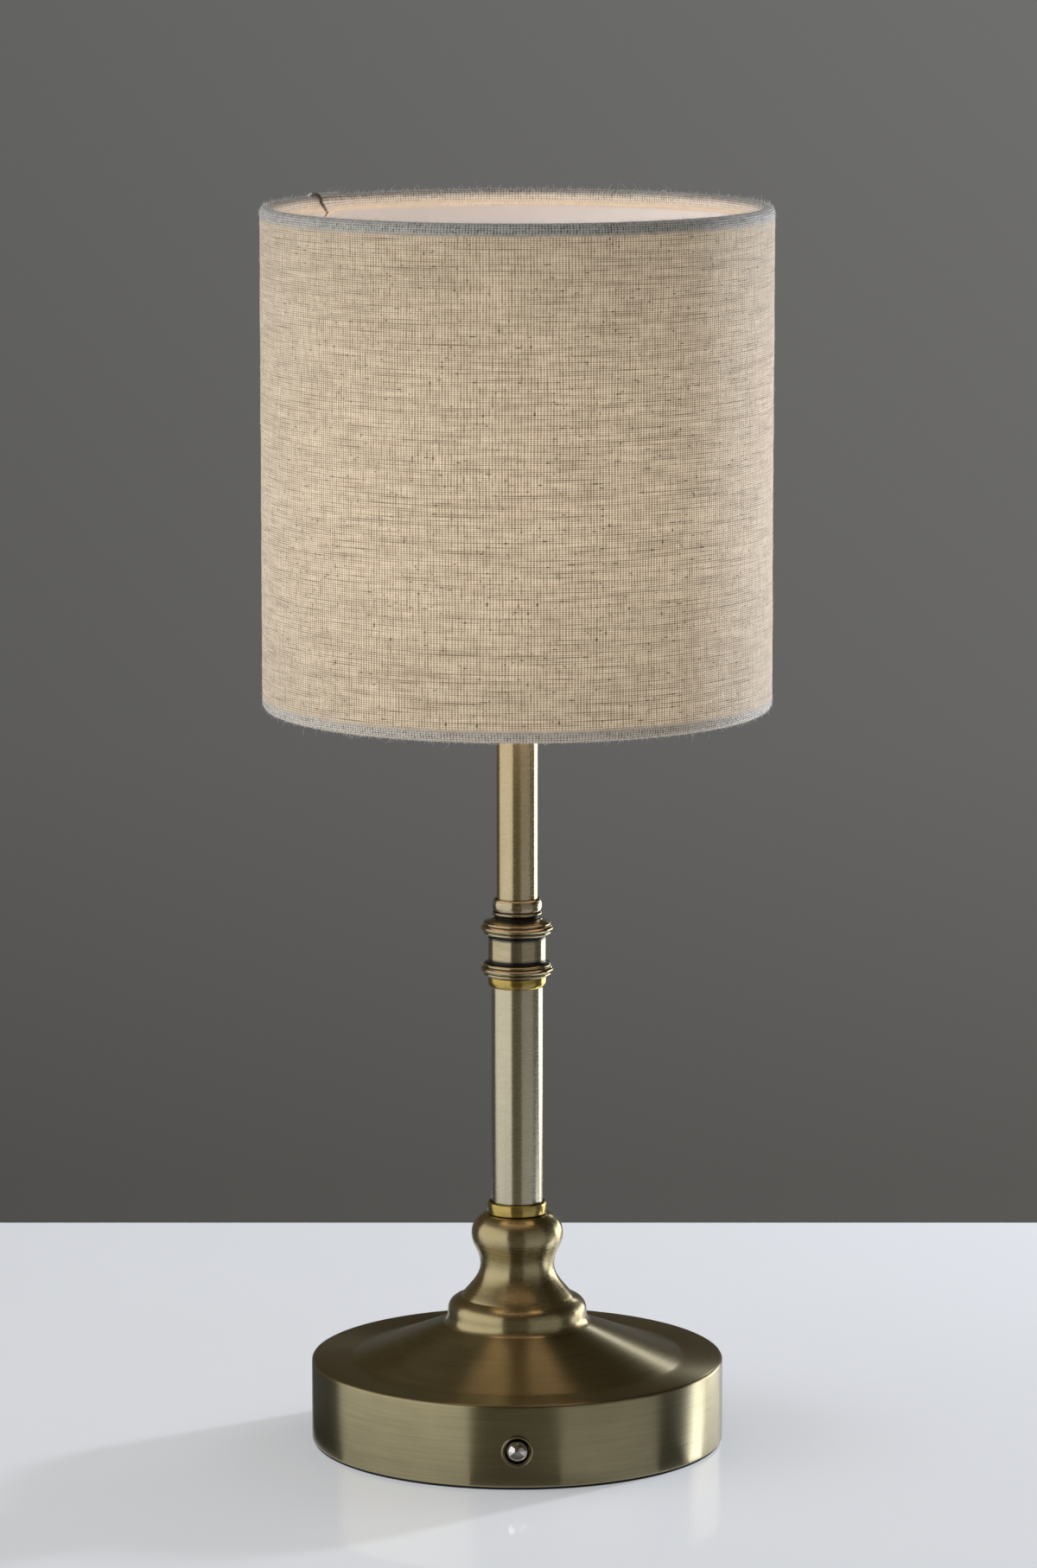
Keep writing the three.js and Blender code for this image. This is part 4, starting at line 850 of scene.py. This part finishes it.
def make_button():
    sink, radius = 0.9, 3.4
    skirt = -sink - 3.1
    cap = Outline(0, skirt - 7.5).to(1.2, skirt - 7.5, 0.15).to(1.2, skirt).to(radius, skirt, 0.3)
    cap.to(radius, -sink).arc(0, -sink, radius, 0, 90, 20)
    bm = lying(spun(cap, 64), -BASE_R, BUTTON_Z)
    keep("ball_button", bm, "chrome", "button_cap", body="button")

    face, ring_r, bore = 1.1, 4.8, radius + 0.3
    ring = Outline(1.5, -9).to(BARREL_R, -9, 0.2).to(BARREL_R, 0.3).to(ring_r, 0.3)
    ring.to(ring_r, face, 0.35).to(BARREL_R + 0.25, face, 0.15)
    ring.bend((BARREL_R - 0.05, face - 0.7), (bore, face - 0.9), (bore, -0.4), steps=8)
    ring.to(bore, -8).to(1.5, -8)
    bm = lying(spun(ring, 64), -BASE_R, BUTTON_Z)
    keep("button_ring", bm, "bezel_nickel", "button_bezel")


def make_button_spring():
    """The coil behind the button's skirt. On the real lamp it shortens as the button goes in;
    here it is drawn at rest.
    """
    low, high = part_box("button_spring")
    wire_r, turns, steps = 0.25, 4, 12
    coil_r = (high.x - low.x) / 2 / MM - wire_r
    near, deep = low.y / MM + wire_r, high.y / MM - wire_r
    points = []
    for k in range(turns * steps + 1):
        angle = FULL_TURN * k / steps
        along = near + (deep - near) * k / (turns * steps)
        points.append((coil_r * cos(angle), along, BUTTON_Z + coil_r * sin(angle)))
    spring = keep("return_spring", bent_wire("spring", points, wire_r, 2), "zinc_steel",
                  "button_spring")
    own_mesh(spring)


# Head and shade

def make_head():
    foot, high = span_of("lamp_head")
    tall, lip_top = high - foot, high + 0.3
    thread_r, pitch, seat_r, bore_r = 14.0, 1.5, 12.4, 11.2
    cup = Outline(6.65, 0, foot).to(8.4, 0, 0.3).to(8.4, 1.8)
    cup.bend((9.0, 4.5), (18, 4.9), steps=14).to(18, 6.4, 0.3).to(14, 6.4)
    z = 7.2
    while z + pitch < tall - 0.6:
        cup.to(thread_r, z).to(thread_r - 0.45, z + 0.5).to(thread_r, z + 1.0)
        z += pitch
    cup.to(thread_r, tall, 0.2).to(seat_r, tall, 0.2).to(seat_r, 11).to(bore_r, 11)
    cup.to(bore_r, 4.5).to(ROD_HOLE_R, 4.5).to(ROD_HOLE_R, 3).to(6.65, 3)
    keep("head_cup", spun(cup, 96, groove=1.0), "antique_brass", "lamp_head")

    low, high = span_of("light_diffuser")
    lip_r, dome_r, wall = 12.1, 12.9, 1.6
    dome_z = high - dome_r
    dome = Outline(lip_r - wall, low).to(lip_r, low).to(lip_r, lip_top)
    dome.to(dome_r + 1, lip_top, 0.3).to(dome_r + 1, lip_top + 1.5, 0.4).to(dome_r, lip_top + 1.5)
    dome.arc(0, dome_z, dome_r, 0, 90, 24).arc(0, dome_z, dome_r - wall, 90, 0, 20)
    dome.to(lip_r - wall, lip_top + 2)
    keep("light_dome", spun(dome, 96), "frosted_dome", "light_diffuser")

    low, high = span_of("shade_lock_ring")
    nut = Outline(14.3, low).to(19.4, low, 0.5).to(19.4, high, 0.8).to(14.3, high, 0.4)
    bm = spun(nut, 240)
    for vert in bm.verts:
        flat = Vector((vert.co.x, vert.co.y))
        if flat.length > 17.5 * MM:
            wave = cos(12 * atan2(flat.y, flat.x))
            flat *= 1 - 0.06 * max(0.0, wave) ** 4
            vert.co.x, vert.co.y = flat
    keep("locking_ring", bm, "black_plastic", "shade_lock_ring")


def make_fitter():
    """A hub with three spokes up to the lower wire, each with a blob of weld on the hub."""
    _, high = span_of("shade_fitter")
    hub_z, foot_r, foot_z = high - 0.75, HOOP_R - 1.4, FOOT_WIRE_Z
    hub = Outline(14.3, high - 1.5).to(20.5, high - 1.5, 0.3).to(20.5, high, 0.3)
    parts = [spun(hub.to(14.3, high, 0.2), 96)]
    for turn in range(3):
        angle = pi / 2 + turn * FULL_TURN / 3
        side = Vector((cos(angle), sin(angle)))
        spots = [(foot_r, foot_z), (foot_r - 4, foot_z), (foot_r - 9, foot_z + 0.5),
                 (foot_r - 22, foot_z + 5), (39, hub_z - 9), (33, hub_z - 5), (27, hub_z - 1),
                 (23.5, hub_z), (19, hub_z)]
        points = [(*side * r, z) for r, z in spots]
        parts.append(bent_wire("spoke", points, 1.05))
        bead = bmesh.new()
        place = moved(*side * 20.4, hub_z) @ Matrix.Diagonal((1.15, 1.15, 0.9, 1))
        ops.create_uvsphere(bead, u_segments=16, v_segments=10, radius=1.6 * MM, matrix=place)
        parts.append(bead)
    keep("spoked_fitter", merged(*parts), "white_enamel", "shade_fitter")


def hem_path(rows=44):
    """Middle line of the cloth in section, from the free edge inside the lower hem, round the
    lower wire, up the drum, and round the upper wire to the other free edge."""
    rim_r, flap_r, flap_steps, rim_steps = RIM_R - LINEN_T / 2, 75.6, 5, 12
    inner_r = HOOP_R - rim_r

    def flap(turn_in, edge, way):
        for t in (i / flap_steps for i in range(flap_steps)):
            depth = turn_in + (RIM_R + rim_r - turn_in) * t
            yield Vector((flap_r + (inner_r - flap_r) * t, edge + way * depth))

    def rim(z, start):
        for a in (start + pi * i / rim_steps for i in range(rim_steps + 1)):
            yield Vector((HOOP_R + rim_r * cos(a), z + rim_r * sin(a)))

    tall = TOP_WIRE_Z - FOOT_WIRE_Z
    wall = [Vector((CLOTH_R, FOOT_WIRE_Z + tall * i / rows)) for i in range(1, rows)]
    upper_flap = [*flap(TOP_TURN_IN, SHADE_TOP_Z, -1)]
    return [*flap(HEM_TURN_IN, SHADE_Z, 1), *rim(FOOT_WIRE_Z, pi), *wall, *rim(TOP_WIRE_Z, 0),
            *reversed(upper_flap)]


def hung_cloth(path, columns=330):
    """The cloth as one sheet, hung round the shade on a section path. Its last strip lies
    over its first, and the end of the flap inside the upper hem curls away from the wall. The
    cloth's map is in mm: round the shade from the first edge, and along the section."""
    rows = len(path) - 1
    climb = 4  # length over which the last strip comes to lie over the first
    loose_end, curl, edge_gap, outer_gap = 12, 3.1, 0.3, 0.35
    flap_rows, wall_level = 9, 0.3
    bm = bmesh.new()
    ops.create_grid(bm, x_segments=columns, y_segments=rows, size=1)
    flat = bm.loops.layers.uv.new("cloth_mm")
    along = [0.0]
    for p, q in zip(path, path[1:]):
        along.append(along[-1] + (q - p).length)
    places = {}
    for vert in bm.verts:
        arc = CLOTH_WIDTH * (vert.co.x + 1) / 2
        row = round(rows * (vert.co.y + 1) / 2)
        here = path[row]
        places[vert] = (arc, along[row])
        run = (path[min(rows, row + 1)] - path[max(0, row - 1)]).normalized()
        ramp = limited((arc - (CLOTH_WIDTH - SEAM_WIDTH) + climb) / climb)
        lift = ramp * ramp * (3 - 2 * ramp) * (LINEN_T + 0.08)
        near_end = max(0.0, 1 - (CLOTH_WIDTH - arc) / loose_end)
        if row > rows - flap_rows and here.y <= TOP_WIRE_Z:
            down = (TOP_WIRE_Z - here.y) / (TOP_TURN_IN - RIM_R)
            bow = sin(pi * min(1.0, 0.75 * down))
            lift += near_end ** 2 * (curl * bow + edge_gap)
        else:
            lift += near_end ** 4 * outer_gap
        r, z = here.x + run.y * lift, here.y - run.x * lift
        turn = SEAM_ANGLE + (arc - SEAM_WIDTH) / CLOTH_R
        vert.co = Vector((r * cos(turn), r * sin(turn), z)) * MM
    for face in bm.faces:
        for loop in face.loops:
            loop[flat].uv = places[loop.vert]
    ops.recalc_face_normals(bm, faces=bm.faces)

    def rearward(face):
        middle = face.calc_center_median()
        return middle.y - abs(middle.z - wall_level)

    if max(bm.faces, key=rearward).normal.y < 0:
        ops.reverse_faces(bm, faces=bm.faces)
    return bm, (CLOTH_WIDTH * MM, along[-1] * MM)


def uneven(bm, amount, grain, seed):
    """Moves the cloth in and out a little, as hand-stretched linen lies."""
    shift, spread = Vector((seed, 2 * seed, 3 * seed)), 90
    for vert in bm.verts:
        out = Vector((vert.co.x, vert.co.y, 0)).normalized()
        spot = Vector((out.x * spread, out.y * spread, vert.co.z / MM)) / grain + shift
        vert.co += out * noise.noise(spot) * amount * MM


def make_linen():
    bm, cut = hung_cloth(hem_path())
    uneven(bm, 0.16, 14, 3.0)
    uneven(bm, 0.1, 5, 8.0)
    linen = keep("linen_drum", bm, "oatmeal_linen", "shade_linen", sharp=60)
    step = linen.modifiers.new("thickness", "SOLIDIFY")
    step.thickness, step.offset = LINEN_T * MM, 0.0
    graph = bpy.context.evaluated_depsgraph_get()
    solid = bpy.data.meshes.new_from_object(linen.evaluated_get(graph))
    linen.modifiers.clear()
    linen.data = solid


def make_fuzz(name, count, seed, wire_z=None, least=0, most=0):
    """Loose fibres that stand off the linen: round the rim at a wire's level, where they lean
    between two angles from level, or else all over the drum."""
    fibre_r, root_depth, clear = 0.034, 0.15, 3
    chance = random.Random(seed)
    curve = new_wire("fibres", fibre_r, 0)
    for _ in range(count):
        turn = chance.uniform(0, FULL_TURN)
        outward = Vector((cos(turn), sin(turn), 0))
        sideways = Vector((-outward.y, outward.x, 0))
        if wire_z is None:
            radius, lean = SHADE_R, 0.0
            level = chance.uniform(SHADE_Z + clear, SHADE_TOP_Z - clear)
        else:
            lean = radians(chance.uniform(least, most))
            radius, level = HOOP_R + RIM_R * cos(lean), wire_z + RIM_R * sin(lean)
        root = outward * radius + Vector((0, 0, level))
        stand = outward * cos(lean) + Vector((0, 0, sin(lean)))
        length = 0.35 + 0.5 * chance.random() + 1.3 * chance.random() ** 12
        drift = sideways * chance.uniform(-1.3, 1.3) + Vector((0, 0, chance.uniform(-1, 1)))
        line = curve.splines.new("POLY")
        line.points.add(2)
        for k, knot in enumerate(line.points):
            t = k / 2
            reach = length * (0.8 * t - 0.35 * t * t)
            spot = root - stand * root_depth + stand * reach + drift * (length * 1.1 * t * t)
            knot.co = (*(spot * MM), 1)
            knot.radius = 1.0 - 0.5 * t
    keep(name, drawn(curve, 1e-8), "flax_fibre")


def make_lining():
    low, high = span_of("shade_liner")
    inner_r, outer_r = 76.25, 76.7
    film = Outline(inner_r, low).to(outer_r, low).to(outer_r, high).to(inner_r, high)
    keep("white_lining", spun(film, 192), "white_lining", "shade_liner")


make_base()
make_foot_screws()
make_neck()
make_cup("neck_cup", "neck_ring", 8.24, 9.05, 0.35, "bright_brass", bulge=0.1)
make_tube("lower_pipe", "lower_tube", 7.94, "pale_brass")
make_cup("knuckle_cup", "knuckle_cap", 8.24, 8.99, 2.2, "bright_brass", upside_down=True)
make_knuckle()
make_cup("collar", "tube_collar", 6.65, 7.4, 0.5, "rose_brass", bulge=0.3)
make_tube("upper_pipe", "upper_tube", 6.35, "warm_brass")
make_button()
make_button_spring()
make_head()
make_fitter()
make_linen()
make_fuzz("top_rim_fibres", 8500, 41, TOP_WIRE_Z, -20, 175)
make_fuzz("foot_rim_fibres", 5000, 42, FOOT_WIRE_Z, -160, 15)
make_fuzz("drum_fibres", 7000, 43)
make_lining()


# CAD nodes that stay, mostly inside the base and the head

KEPT = {
    "zinc_steel": "bottom_plate base_washer base_nut battery_contact_plus battery_contact_minus "
                  "charging_socket board_screw_1 board_screw_2 button_nut button_clip "
                  "threaded_rod head_washer head_nut shade_top_ring shade_lower_ring",
    "cast_iron": "ballast_disc",
    "black_plastic": "inner_tray switch_body",
    "white_plastic": "lead_terminal charging_light switch_plunger",
    "green_board": "control_board switch_board",
    "white_board": "led_board",
    "aluminium": "heat_sink",
    "cell_wrap": "battery_cell",
    "led_phosphor": " ".join(f"led_chip_{i}" for i in range(1, 7)),
    "black_insulation": "light_lead_minus switch_lead_minus battery_lead_minus",
    "red_insulation": "light_lead_plus switch_lead_plus battery_lead_plus",
}
for material, nodes in KEPT.items():
    for node in nodes.split():
        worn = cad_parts[node].data.materials
        worn.clear()
        worn.append(MATERIAL[material])


# Table, backdrop and studio light. Bearings are in degrees from the front, right positive

def seen_directly(kit):
    """1 for rays that show a surface to the camera, straight on or in metal or glass."""
    paths = kit.place("LightPath")
    seen = kit.math("MAXIMUM", paths["Is Camera Ray"], paths["Is Glossy Ray"])
    return kit.math("MAXIMUM", seen, paths["Is Transmission Ray"])


def make_table():
    half = 300.6
    table = loose("table_top", brick((2 * half, 2 * half, 20), (0, 0, -10), 1.5, 4))
    kit = new_material("white_table")
    clouds = kit.noise(kit.object_mm(), 0.01)
    kit.surface(
        Base_Color=kit.blend(clouds, (0.66, 0.67, 0.69), (0.69, 0.7, 0.715)), Roughness=0.05,
        Emission_Color=kit.blend(seen_directly(kit), grey(0), (0.266, 0.275, 0.288)),
        Emission_Strength=1.0, Specular_IOR_Level=0.4)
    table.data.materials.append(MATERIAL["white_table"])


def make_card(name, start, end, colour, glow, near, far):
    """A photographer's card, flat on the table beside the base, that only the metal sees. The
    base's wall shows it as an upright band between two bearings. It reaches from near to far,
    in mm, and is clear from below."""
    wall_r, level = 65, 0.4
    bm = bmesh.new()
    ops.create_grid(bm, x_segments=24, y_segments=8, size=1)
    for vert in bm.verts:
        turn = radians(start + (end - start) * (vert.co.x + 1) / 2)
        reach = near + (far - near) * (vert.co.y + 1) / 2
        x = wall_r * sin(turn) + reach * sin(2 * turn)
        y = -wall_r * cos(turn) - reach * cos(2 * turn)
        vert.co = Vector((x, y, level)) * MM
    for face in bm.faces:
        face.normal_update()
        if face.normal.z < 0:
            face.normal_flip()
    card = loose(name, bm)
    kit = new_material(name)
    kit.surface(Base_Color=colour, Roughness=0.9, Specular_IOR_Level=0.0,
                Emission_Color=(0.93 * glow, 0.98 * glow, 1.12 * glow), Emission_Strength=1.0)
    nodes = kit.tree.nodes
    facing = kit.given(nodes["Principled BSDF"])[0]
    back = kit.place("NewGeometry")["Backfacing"]
    either = {0: back, 1: facing, 2: kit.place("BsdfTransparent")[0]}
    kit.fill(nodes["Material Output"], Surface=kit.place("MixShader", either)[0])
    card.data.materials.append(MATERIAL[name])
    card.visible_camera = card.visible_diffuse = card.visible_shadow = False


def soft_box(name, bearing, distance, low, high, width, radiance, colour, missed=None):
    """A flat upright soft light that faces the lamp, in metres. Diffuse or glossy surfaces
    miss it where one of them is named."""
    tall = high - low
    lamp = bpy.data.lights.new(name, "AREA")
    lamp.shape = "RECTANGLE"
    lamp.size, lamp.size_y = width, tall
    lamp.energy = radiance * pi * width * tall
    lamp.color = colour
    holder = placed(name, lamp)
    turn = radians(bearing)
    middle = (low + high) / 2
    holder.location = (distance * sin(turn), -distance * cos(turn), middle)
    aim(holder, (0, 0, middle))
    holder.visible_camera = False
    holder.visible_diffuse, holder.visible_glossy = missed != "diffuse", missed != "glossy"


def make_backdrop():
    world = scene.world = bpy.data.worlds.new("studio")
    world.use_nodes = True
    kit = Kit(world.node_tree)
    right, _, up = kit.place("TexCoord")["Generated"].split()
    low_wall, wall, top_wall = (0.088, 0.086, 0.081), (0.12, 0.118, 0.114), (0.142, 0.141, 0.138)
    shown = kit.blend(up.span(-0.215, -0.15), low_wall, wall)
    shown = kit.blend(up.span(-0.15, -0.03), shown, top_wall)
    above = kit.blend(right.span(-0.6, 0.4), (0.115, 0.09, 0.05), (0.034, 0.027, 0.015))
    shown = kit.blend(up.span(0.03, 0.25), shown, above)
    shown = kit.scaled(shown, right.span(-0.08, 0.08, 0.89, 1.13))
    kit.fill(kit.tree.nodes["Background"], Strength=1.0,
             Color=kit.blend(seen_directly(kit), grey(0.25), shown))


EDGE, END = 205, 480  # how far the table mirrors in the base's wall, and the cards' far end
DARK_GOLD = (0.12, 0.1, 0.07)
CARDS = (
    ("front_card", -13.4, 12.2, (0.225, 0.215, 0.19), 0, 0, EDGE),
    ("far_front_card", -13.4, 12.2, (0.17, 0.125, 0.06), 0, EDGE, END),
    ("near_left_card", -59, -13.4, grey(0.8), 0.17, 0, EDGE),
    ("right_card", 12.2, 43.5, grey(0.6), 0, 0, END),
    ("side_card", 43.5, 55, grey(0.11), 0, 0, EDGE),
    ("bright_card", 57.5, 65, grey(0.8), 3.0, 0, EDGE),
    ("far_side_card", 43.5, 66, DARK_GOLD, 0, EDGE, END),
    ("neck_glint_card", 66, 72, grey(0.8), 2.6, EDGE, END),
    ("far_edge_card", 72, 88, DARK_GOLD, 0, EDGE, END),
    ("left_card", -85, -59, grey(0.1), 0, 0, END),
)
WARM_WHITE, REAR_WHITE = (1.0, 0.985, 0.96), (1.0, 0.99, 0.97)
LIGHTS = (
    ("left_soft_box", -70, 1.25, -0.45, 1.15, 2.5, 0.85, WARM_WHITE),
    ("right_soft_box", 46, 1.5, -0.45, 1.15, 1.6, 0.15, WARM_WHITE),
    ("rear_strip", 131, 1.3, -0.3, 0.25, 0.9, 3.7, REAR_WHITE, "diffuse"),
    ("rear_fill", 131, 1.3, -0.3, 1.3, 0.9, 2.2, REAR_WHITE, "glossy"),
    ("left_fill", -86, 1.25, -0.45, 1.15, 2.0, 1.0, (0.96, 0.99, 1.05), "glossy"),
    ("neck_glint", 165, 1.0, 0.41, 0.46, 0.04, 23.0, grey(1), "diffuse"),
    ("rim_fill", 138, 1.3, -0.35, -0.05, 0.5, 32.0, (0.93, 0.98, 1.1), "glossy"),
    ("rear_key", 128, 1.3, 0.28, 0.36, 0.08, 800.0, (0.9, 0.98, 1.14), "glossy"),
)
make_table()
for row in CARDS:
    make_card(*row)
make_backdrop()
for row in LIGHTS:
    soft_box(*row)

scene.view_settings.view_transform = "Standard"
